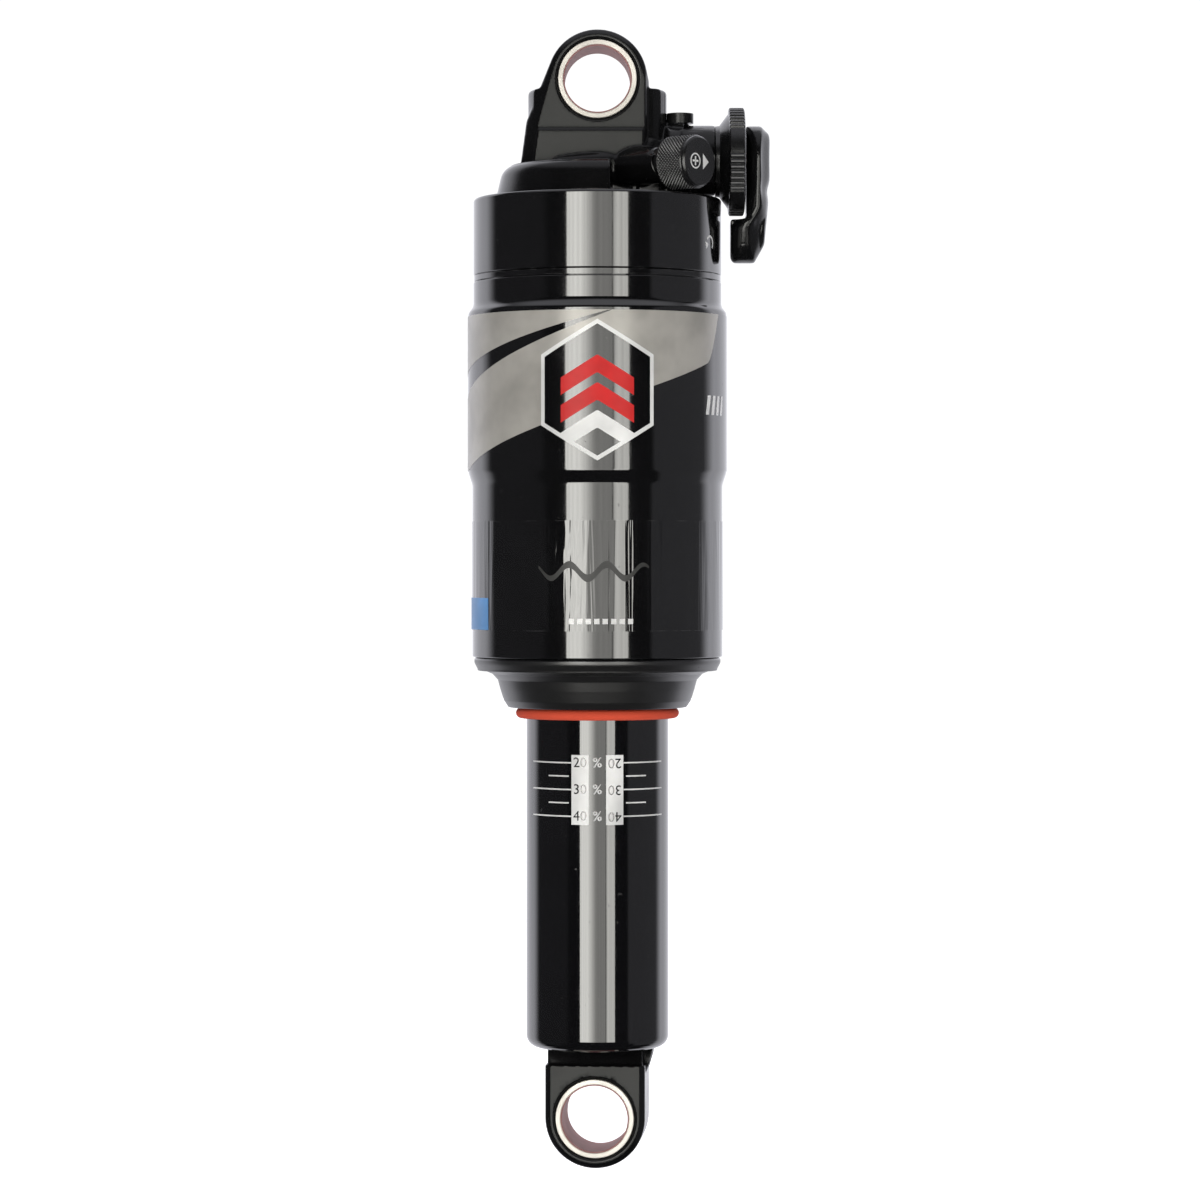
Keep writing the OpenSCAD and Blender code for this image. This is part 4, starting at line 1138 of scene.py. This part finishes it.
@dataclass
class Castings:
    """The head casting and the lower eyelet, with their bushes and liners."""

    voxel: float = 0.27
    passes: int = 6
    rim_r: float = 8.15
    bush_r: float = 7.54
    liner_r: float = 6.6
    bore_r: float = 6.35
    half: float = 6.35

    def build(self) -> None:
        """Builds both castings and their bushes."""
        mounts = {m["name"]: m for m in frame["record"]["mounts"]}
        upper, lower = (Spindle(tuple(np.array(mounts[k]["pos_m"]) / MM), tuple(mounts[k]["axis"]))
                        for k in ("upper_eye", "lower_eye"))
        head = softened("head_eyelet", "head_casting", self.voxel, self.passes, 0.55,
                        lambda p: self.chamfer(self.dress_head(p), upper))
        flange = high("air_can")[2] + 6.0
        self.mark_faces(head, upper, lambda p: ramp(p[:, 2], flange - 0.2, flange + 0.2) * ramp(p[:, 0], 9.5, 9.1))
        place(head, Body.HEAD, "eye_faces", CASTING, "head_eyelet")
        ceiling = low("damper_tube")[2] - 3.1
        foot = softened("lower_eyelet", "lower_casting", 0.2, 4, 0.6,
                        lambda p: self.chamfer(self.scoop(p, ceiling), lower))
        self.mark_faces(foot, lower, lambda p: ramp(p[:, 2], ceiling + 0.1, ceiling - 0.2))
        place(foot, Body.DAMPER, "eye_faces", CASTING, "lower_eyelet")
        for side, eye, body in (("upper", upper, Body.HEAD), ("lower", lower, Body.DAMPER)):
            self.bush(side, eye, body)
        dress("fill_plug", DARK_ALLOY)
        dress("housing_plug", DARK_ALLOY)

    def dress_head(self, points: np.ndarray) -> np.ndarray:
        """Rounds the tower beside the eye, with the square of the distance past it, and cones the flange's rim.

        Args:
            points: array (points, 3) of the head casting.

        Returns:
            The moved points.
        """
        foot = high("air_can")[2]
        limit = 9.2 + 0.26 * np.clip(-points[:, 2], 0, 15) * (points[:, 0] < 0)
        past = np.clip(np.abs(points[:, 0]) - limit, 0, 3.2)
        tower = ramp(points[:, 2], foot + 7.2, foot + 8.0) * ramp(points[:, 0], 13.6, 12.8)
        points[:, 1] *= 1 - 0.028 * tower * past ** 2
        distance = np.hypot(points[:, 0], points[:, 1])
        rim = ramp(distance, 16.5, 18.5) * np.clip((points[:, 2] - foot) / 6.4, 0, 1)
        points[:, :2] *= (1 - 0.075 * rim * (distance < 19.8))[:, None]
        return points

    def chamfer(self, points: np.ndarray, eye: Spindle) -> np.ndarray:
        """Chamfers a casting round an eye's bush: the depth grows towards the bush, from nothing at the rim.

        Args:
            points: array (points, 3) of the casting.
            eye: the eye's axis.

        Returns:
            The moved points.
        """
        reach, distance = eye.measure(points)
        depth = 0.85 * np.clip(self.rim_r - distance, 0, 0.7) * ramp(np.abs(reach), 5.2, 5.9)
        return points - (np.sign(reach) * depth)[:, None] * np.array(eye.along)

    def scoop(self, points: np.ndarray, ceiling: float) -> np.ndarray:
        """Leans the neck above the lower eye inwards, in proportion to the height above its face.

        Args:
            points: array (points, 3) of the lower casting.
            ceiling: height where the face ends.

        Returns:
            The moved points.
        """
        lean = np.clip((points[:, 2] - ceiling) / 3.0, 0, 1.2)
        points[:, 1] *= 1 - 0.24 * lean
        return points

    def bush(self, side: str, eye: Spindle, body: Body) -> None:
        """Builds an eye's bush with chamfered ends, and the liner a little shorter inside it.

        Args:
            side: which eye, upper or lower.
            eye: the eye's axis.
            body: the body that they ride on.
        """
        ring = fillet_loop([(self.liner_r, -self.half, 0.16), (self.bush_r, -self.half, 0.12),
                            (self.bush_r, self.half, 0.12), (self.liner_r, self.half, 0.16)])
        place(revolve(f"{side}_bush_ring", ring, eye), body, "bright_steel", RING_STEEL, f"{side}_bush")
        tube = fillet_loop([(self.bore_r, 0.2 - self.half, 0.08), (self.liner_r - 0.01, 0.2 - self.half, 0.05),
                            (self.liner_r - 0.01, self.half - 0.2, 0.05), (self.bore_r, self.half - 0.2, 0.08)])
        place(revolve(f"{side}_liner_tube", tube, eye), body, "liner", LINER, f"{side}_bush_liner")

    def mark_faces(self, piece: bpy.types.Object, eye: Spindle, inside: Callable) -> None:
        """Marks the machined faces: points whose normal lies along the eye's axis.

        Args:
            piece: the casting.
            eye: the eye's axis.
            inside: function of the points that is 1 where faces may be machined.
        """
        points = point_array(piece)
        along = np.abs(read_triples(piece.data.vertex_normals, "vector") @ np.array(eye.along))
        reach, from_axis = eye.measure(points)
        flat = ramp(along, 0.93, 0.985) * ramp(np.abs(reach), 5.6, 6.1)
        store(piece, "machined_and_painted_peak_highlight", flat * ramp(from_axis, self.rim_r, self.rim_r + 0.25) * inside(points))


@dataclass
class Dial:
    """The rebound dial: a coned hub and a rim with groups of ridges."""

    rim_width: float = 3.15
    lip: float = 0.24
    ridge_depth: float = 0.42
    groups: int = 5
    ridges: int = 7
    ridge_step: float = 6.0
    first_ridge: float = 16.0
    segments: int = 960

    def __post_init__(self) -> None:
        """Reads the dial's axis, ends and radius from the frame."""
        self.axis_z = float(middle("rebound_dial")[2])
        self.cone_x, self.face_x = float(low("rebound_dial")[0]), float(high("rebound_dial")[0])
        self.rim_r = radius("rebound_dial")

    def build(self) -> None:
        """Builds the dial as an outline carried round its axis, the rim's radius rising at each ridge."""
        inner_x = self.face_x - self.rim_width
        base = self.rim_r - self.ridge_depth
        outline = fillet_loop([
            (4.05, self.cone_x, 0.1), (6.1, self.cone_x, 0.05), (6.15, self.cone_x - self.lip, 0.05),
            (6.8, self.cone_x - self.lip, 0.08), (6.9, inner_x - 1.7, 0.3), (base - 0.9, inner_x, 0.3),
            (base, inner_x + 0.05, 0.3), (base, self.face_x, 0.35), (base - 1.3, self.face_x, 0.25),
            (base - 1.7, self.face_x - 0.6, 0.3), (6.6, self.face_x - 0.6, 0.3), (6.0, self.face_x - 0.1, 0.2),
            (4.05, self.face_x - 0.1, 0.1),
        ])
        angle = np.linspace(0, 2 * np.pi, self.segments, endpoint=False)[None, :]
        r, x = outline[:, :1], outline[:, 1:]
        rise = self.ridge_height(np.degrees(angle)) * ramp(r, base - 0.35, base - 0.02)
        edge = ramp(x, inner_x - 0.1, inner_x + 0.35) * ramp(x, self.face_x + 0.1, self.face_x - 0.4)
        r = r + rise * edge
        points = np.stack([x + 0 * angle, r * np.sin(angle), r * np.cos(angle) + self.axis_z], -1)
        wheel = closed_grid("dial_wheel", points)
        # Painted highlight: the ridge tops are marked for a light grey colour.
        store(wheel, "machined_and_painted_peak_highlight", (0.55 * ramp(rise * edge, self.ridge_depth * 0.8, self.ridge_depth)).ravel())
        place(wheel, Body.DIAL, "black_alloy", PEAK_HIGHLIGHT_ALLOY, "rebound_dial")
        dress("rebound_cam", DARK_ALLOY)

    def ridge_height(self, angle: np.ndarray) -> np.ndarray:
        """Works out the rim's height: rounded ridges in groups, plain between them.

        Args:
            angle: degrees from the top.

        Returns:
            The height at each angle, in millimetres.
        """
        period = 360 / self.groups
        inside = (angle - self.first_ridge) % period
        span = self.ridges * self.ridge_step
        wave = np.abs(np.sin(np.pi * inside / self.ridge_step)) ** 0.7
        return np.where(inside < span, self.ridge_depth * wave, self.ridge_depth * 0.75
                        * ramp(inside, span, span + 1.2) * ramp(inside, period, period - 1.2))


@dataclass
class ValveCap:
    """The knurled cap on the air valve, with a plus sign in a ring and a wedge on its end."""

    length: float = 6.8
    smooth_len: float = 0.9
    knurl_depth: float = 0.34
    edge: float = 0.6
    starts: int = 46
    pitch: float = 0.7
    symbol_aside: float = -1.35

    def __post_init__(self) -> None:
        """Reads the valve's direction from the cap's joint, and works out where the cap ends along it."""
        foot, top = ends("valve_cap")
        self.cap_r = (top - foot) / 2
        along = joint("cap_turn")["axis"]
        self.spindle = Spindle((0.0, 0.0, float(middle("valve_cap")[2])), tuple(along))
        flat = self.edge + (self.cap_r - self.edge) * abs(along[1])
        self.end = float((high("valve_cap")[0] - flat) / along[0]) + self.edge

    def build(self) -> None:
        """Builds the cap as an outline carried round the valve's axis, cut by two sets of crossing grooves.

        The depth of the cut is that of the nearer groove, and each groove's profile is a power of a sine.
        """
        start, stop = self.end - self.length, self.end - self.smooth_len
        outline = fillet_loop([
            (3.95, start, 0.1), (self.cap_r - 0.05, start, 0.25), (self.cap_r, start + 0.4, 0.1),
            (self.cap_r, stop, 0.1), (self.cap_r - 0.2, stop + 0.15, 0.1),
            (self.cap_r - 0.22, self.end - 0.3, 0.2), (self.cap_r - 0.6, self.end, 0.15), (0.02, self.end, 0.01),
            (0.02, self.end - 0.98, 0.01), (3.95, self.end - 0.98, 0.1),
        ])
        outline = self.refine(outline, np.linspace(start + 0.5, stop - 0.1, 84))
        angle = np.linspace(0, 2 * np.pi, self.starts * 10, endpoint=False)[None, :]
        r, t = outline[:, :1], outline[:, 1:]
        lead = np.pi * (t - start) / self.pitch
        first = np.abs(np.sin(self.starts * angle / 2 + lead))
        second = np.abs(np.sin(self.starts * angle / 2 - lead))
        depth = self.knurl_depth * (1 - np.minimum(first, second) ** 0.7)
        zone = ramp(t, start + 0.3, start + 0.5) * ramp(t, stop, stop - 0.25)
        # Painted highlight: the knurl peaks are marked for a light grey colour.
        painted_highlight = ramp(self.knurl_depth - depth, self.knurl_depth * 0.62, self.knurl_depth * 0.9) * zone
        painted_highlight = painted_highlight * (r > self.cap_r - 0.1)
        r = r - depth * zone * (r > self.cap_r - 0.1)
        points = self.spindle.carry(t + 0 * angle, r * np.cos(angle), r * np.sin(angle))
        cap = closed_grid("knurled_cap", points)
        store(cap, "machined_and_painted_peak_highlight", painted_highlight.ravel())
        place(cap, Body.CAP, "black_alloy", PEAK_HIGHLIGHT_ALLOY, "valve_cap")
        dress("valve_stem", DARK_ALLOY)
        self.symbol()

    def refine(self, outline: np.ndarray, stations: np.ndarray) -> np.ndarray:
        """Adds stations along the knurled stretch of the outline.

        Args:
            outline: array (points, 2) of the cap's outline.
            stations: distances along the axis.

        Returns:
            The finer outline.
        """
        after = int(np.argmax((outline[:, 0] > self.cap_r - 0.01) & (outline[:, 1] > stations[-1])))
        extra = np.stack([np.full_like(stations, self.cap_r), stations], -1)
        kept = outline[:after]
        kept = kept[~((kept[:, 0] > self.cap_r - 0.01) & (kept[:, 1] > stations[0]))]
        return np.concatenate([kept, extra, outline[after:]])

    def symbol(self) -> None:
        """A ring with a plus sign and a wedge beside it, printed on the cap's end."""
        angle = np.linspace(0, 2 * np.pi, 49)
        share = np.linspace(1.22, 1.5, 3)[:, None]
        aside = self.symbol_aside
        parts = [self.print_on_end("ring", share * np.cos(angle) + aside, share * np.sin(angle))]
        for wide, tall in ((1.7, 0.36), (0.36, 1.7)):
            a, b = np.meshgrid(np.linspace(-wide / 2, wide / 2, 4), np.linspace(-tall / 2, tall / 2, 4), indexing="ij")
            parts.append(self.print_on_end("bar", a + aside, b))
        a, b = np.meshgrid(np.linspace(0, 1, 6), np.linspace(-1, 1, 6), indexing="ij")
        parts.append(self.print_on_end("wedge", 0.9 + 1.7 * a, 1.5 * b * (1.02 - a)))
        place(joined("plus_mark", parts), Body.CAP, "black_alloy", WHITE_PRINT)

    def print_on_end(self, name: str, side: np.ndarray, up: np.ndarray) -> bpy.types.Object:
        """Makes a thin print on the cap's end face.

        Args:
            name: the piece's name.
            side: distances from left to right as seen.
            up: distances up.

        Returns:
            The new piece.
        """
        face = self.spindle.carry(np.full(side.shape, self.end + 0.01), side, up)
        return plate(name, face, 0.015, np.broadcast_to(np.array(self.spindle.along), face.shape))


@dataclass
class Lever:
    """The two-position lever and its screw."""

    voxel: float = 0.2
    passes: int = 30
    boss_r: float = 6.7

    def build(self) -> None:
        """Builds the blade and dresses its metal parts."""
        blade = softened("firm_lever", "lever_blade", self.voxel, self.passes, 0.7, self.crown)
        place(blade, Body.LEVER, "black_plastic", DARK_MOULDING, "firm_lever")
        dress("lever_shaft", BRIGHT_STEEL)
        dress("lever_screw", BRIGHT_STEEL)

    def crown(self, points: np.ndarray) -> np.ndarray:
        """Crowns the flat sides as an ellipse, rounds the outer shoulder and draws in a waist under the boss.

        Args:
            points: array (points, 3) of the lever.

        Returns:
            The moved points.
        """
        first, last = low("firm_lever")[0], high("firm_lever")[0]
        arm = ramp(points[:, 2], low("firm_lever")[2] + 6.0, low("firm_lever")[2] + 11.0)
        centre = first + 2.9 + arm * (last - 2.35 - first - 2.9)
        across = (points[:, 0] - centre) / (2.9 - 0.55 * arm)
        points[:, 1] *= np.sqrt(1 - 0.72 * np.clip(across, -1, 1) ** 2)
        outer = ramp(across, 0.0, 1.0)
        points[:, 0] -= outer * 1.6 * (points[:, 1] / self.boss_r) ** 2
        below = high("firm_lever")[2] - points[:, 2]
        shoulder = np.clip(1 - below / 3.4, 0, 1)
        waist = np.exp(-((below - 12.6) / 1.5) ** 2)
        points[:, 0] -= outer * (0.7 * shoulder ** 2 + 0.45 * waist)
        points[:, 2] -= 0.3 * outer * shoulder ** 2
        return points


@dataclass
class Internals:
    """Finishes of the pieces inside."""

    finishes: tuple[tuple[Finish, str], ...] = (
        (BLACK_RUBBER, "head_oring sleeve_oring_upper sleeve_oring_lower volume_spacer can_u_cup_seal wiper_seal"),
        (BLACK_RUBBER, "air_piston_quad_seal shaft_seal seal_head_oring tube_bottom_oring floating_piston_oring"),
        (BLACK_RUBBER, "cap_seal"),
        (BUMPER, "bottom_out_bumper top_out_bumper"),
        (BEARING, "can_glide_bush piston_glide_band air_piston_glide_ring shaft_bushing floating_piston_band"),
        (WHITE_PLASTIC, "can_backup_ring"),
        (CHROME, "damper_shaft detent_ball"),
        (ALLOY, "main_piston seal_head floating_piston compression_rod"),
        (BRIGHT_STEEL, "compression_shims rebound_shims piston_nut detent_spring rebound_rod"),
        (BRASS, "valve_core valve_pin"),
    )

    def build(self) -> None:
        """Dresses each piece."""
        for finish, nodes in self.finishes:
            for node in nodes.split():
                dress(node, finish)


@dataclass
class Studio:
    """Camera, lights, pale floor and surroundings."""

    distance: float = 0.770
    lens: float = 119.2
    height: float = -0.0935
    aside: float = 0.0005
    shift: float = -0.0292
    floor_z: float = -0.32
    panel_half: Span = (0.53, 0.34)
    panel_glow: float = 5.6
    seam_x: float = 0.245
    floor_reach: float = 6.0
    floor_glow: float = 0.8
    backdrop: float = 1.05

    def build(self) -> None:
        """Builds the studio."""
        self.camera()
        self.panel()
        self.floor()
        self.surroundings()
        bpy.context.scene.view_settings.view_transform = "Standard"

    def camera(self) -> None:
        """Level camera facing the eyes' bores."""
        data = bpy.data.cameras.new("camera")
        data.lens, data.sensor_width, data.shift_y = self.lens, 36.0, self.shift
        data.clip_start, data.clip_end = 0.01, 50.0
        camera = add_object("camera", data)
        camera.location = (self.aside, -self.distance, self.height)
        camera.rotation_euler = (math.pi / 2, 0, 0)
        bpy.context.scene.camera = camera

    def panel(self) -> None:
        """Adds the softbox in front: a bright sheet with soft streaks and one dark seam, unseen by the camera.

        Its brightness across is one, less a broad dip in the middle, less the seam, times the streaks.
        """
        x, z = self.panel_half
        mesh = bpy.data.meshes.new("softbox")
        mesh.from_pydata([(-x, 0, -z), (x, 0, -z), (x, 0, z), (-x, 0, z)], [], [(3, 2, 1, 0)])
        sheet = add_object("softbox", mesh)
        sheet.location = (0.0, -1.0, -0.12)
        material, g, shader = new_material("softbox")
        material.node_tree.nodes.remove(shader)
        where = g.place()
        across = g.node("ShaderNodeSeparateXYZ", None, Vector=where).outputs["X"]
        dip = g.math("MULTIPLY", g.remap(across, -0.3, 0.0, 0.0, 0.74), g.remap(across, 0.22, 0.3, 1.0, 0.42))
        seam = g.remap(g.math("ABSOLUTE", g.math("SUBTRACT", across, self.seam_x)), 0.003, 0.02, 0.3, 0.0)
        streaks = g.remap(g.noise(g.stretch(where, (1.0, 1.0, 0.02)), 26.0, 5.0), 0.3, 0.7, 0.78, 1.08)
        level = g.math("MULTIPLY", g.math("SUBTRACT", g.math("SUBTRACT", 1.0, dip), seam), streaks)
        strength = g.math("MULTIPLY", level, self.panel_glow)
        glow = g.node("ShaderNodeEmission", None, Color=(1.0, 0.99, 0.94, 1), Strength=strength)
        g.wire(material.node_tree.nodes["Material Output"].inputs["Surface"], glow.outputs[0])
        mesh.materials.append(material)
        sheet.visible_camera = False

    def floor(self) -> None:
        """Pale floor below the object, kept out of its reflections."""
        mesh = bpy.data.meshes.new("floor")
        reach, z = self.floor_reach, self.floor_z
        corners = [(-reach, -reach, z), (reach, -reach, z), (reach, reach, z), (-reach, reach, z)]
        mesh.from_pydata(corners, [], [(0, 1, 2, 3)])
        floor = add_object("floor", mesh)
        material, g, shader = new_material("pale_floor")
        shade = g.remap(g.noise(g.place(), 3.0), 0.3, 0.7, 0.93, 0.96)
        g.wire(shader.inputs["Base Color"], g.grey(shade))
        shader.inputs["Roughness"].default_value = 0.9
        shader.inputs["Emission Color"].default_value = (1, 1, 1, 1)
        seen = g.node("ShaderNodeLightPath").outputs["Is Camera Ray"]
        g.wire(shader.inputs["Emission Strength"], g.math("MULTIPLY", seen, self.floor_glow))
        mesh.materials.append(material)
        floor.visible_glossy = False

    def surroundings(self) -> None:
        """White room: bright behind the object and above, dim at the sides, dark on the camera's side."""
        world = bpy.data.worlds.new("studio")
        bpy.context.scene.world = world
        world.use_nodes = True
        g = Graph(world.node_tree)
        direction = g.node("ShaderNodeTexCoord").outputs["Generated"]
        parts = g.node("ShaderNodeSeparateXYZ", None, Vector=direction).outputs
        behind = g.remap(parts["Y"], 0.3, 0.6, 0.0, 1.15)
        above = g.remap(parts["Z"], 0.6, 0.9, 0.0, 0.5)
        right = g.remap(parts["X"], 0.74, 0.80, 0.0, 0.13)
        left = g.remap(parts["X"], -0.80, -0.70, 0.035, 0.0)
        room = g.math("ADD", g.math("ADD", behind, above), g.math("ADD", g.math("ADD", right, left), 0.015))
        seen = g.node("ShaderNodeLightPath").outputs["Is Camera Ray"]
        tinted = g.grey(room, g.math("MULTIPLY", room, 1.07))
        colour = g.mix(seen, tinted, (self.backdrop, self.backdrop, self.backdrop, 1))
        g.wire(world.node_tree.nodes["Background"].inputs["Color"], colour)


def main() -> None:
    """Builds every sub-assembly in order."""
    logging.basicConfig(level=logging.INFO, format="%(name)s %(message)s")
    for part in (Studio(), Internals(), AirCan(), DamperTube(), Castings(), Dial(), ValveCap(), Lever()):
        part.build()
        LOG.info("%s done", type(part).__name__)


if __name__ == "__main__":
    main()
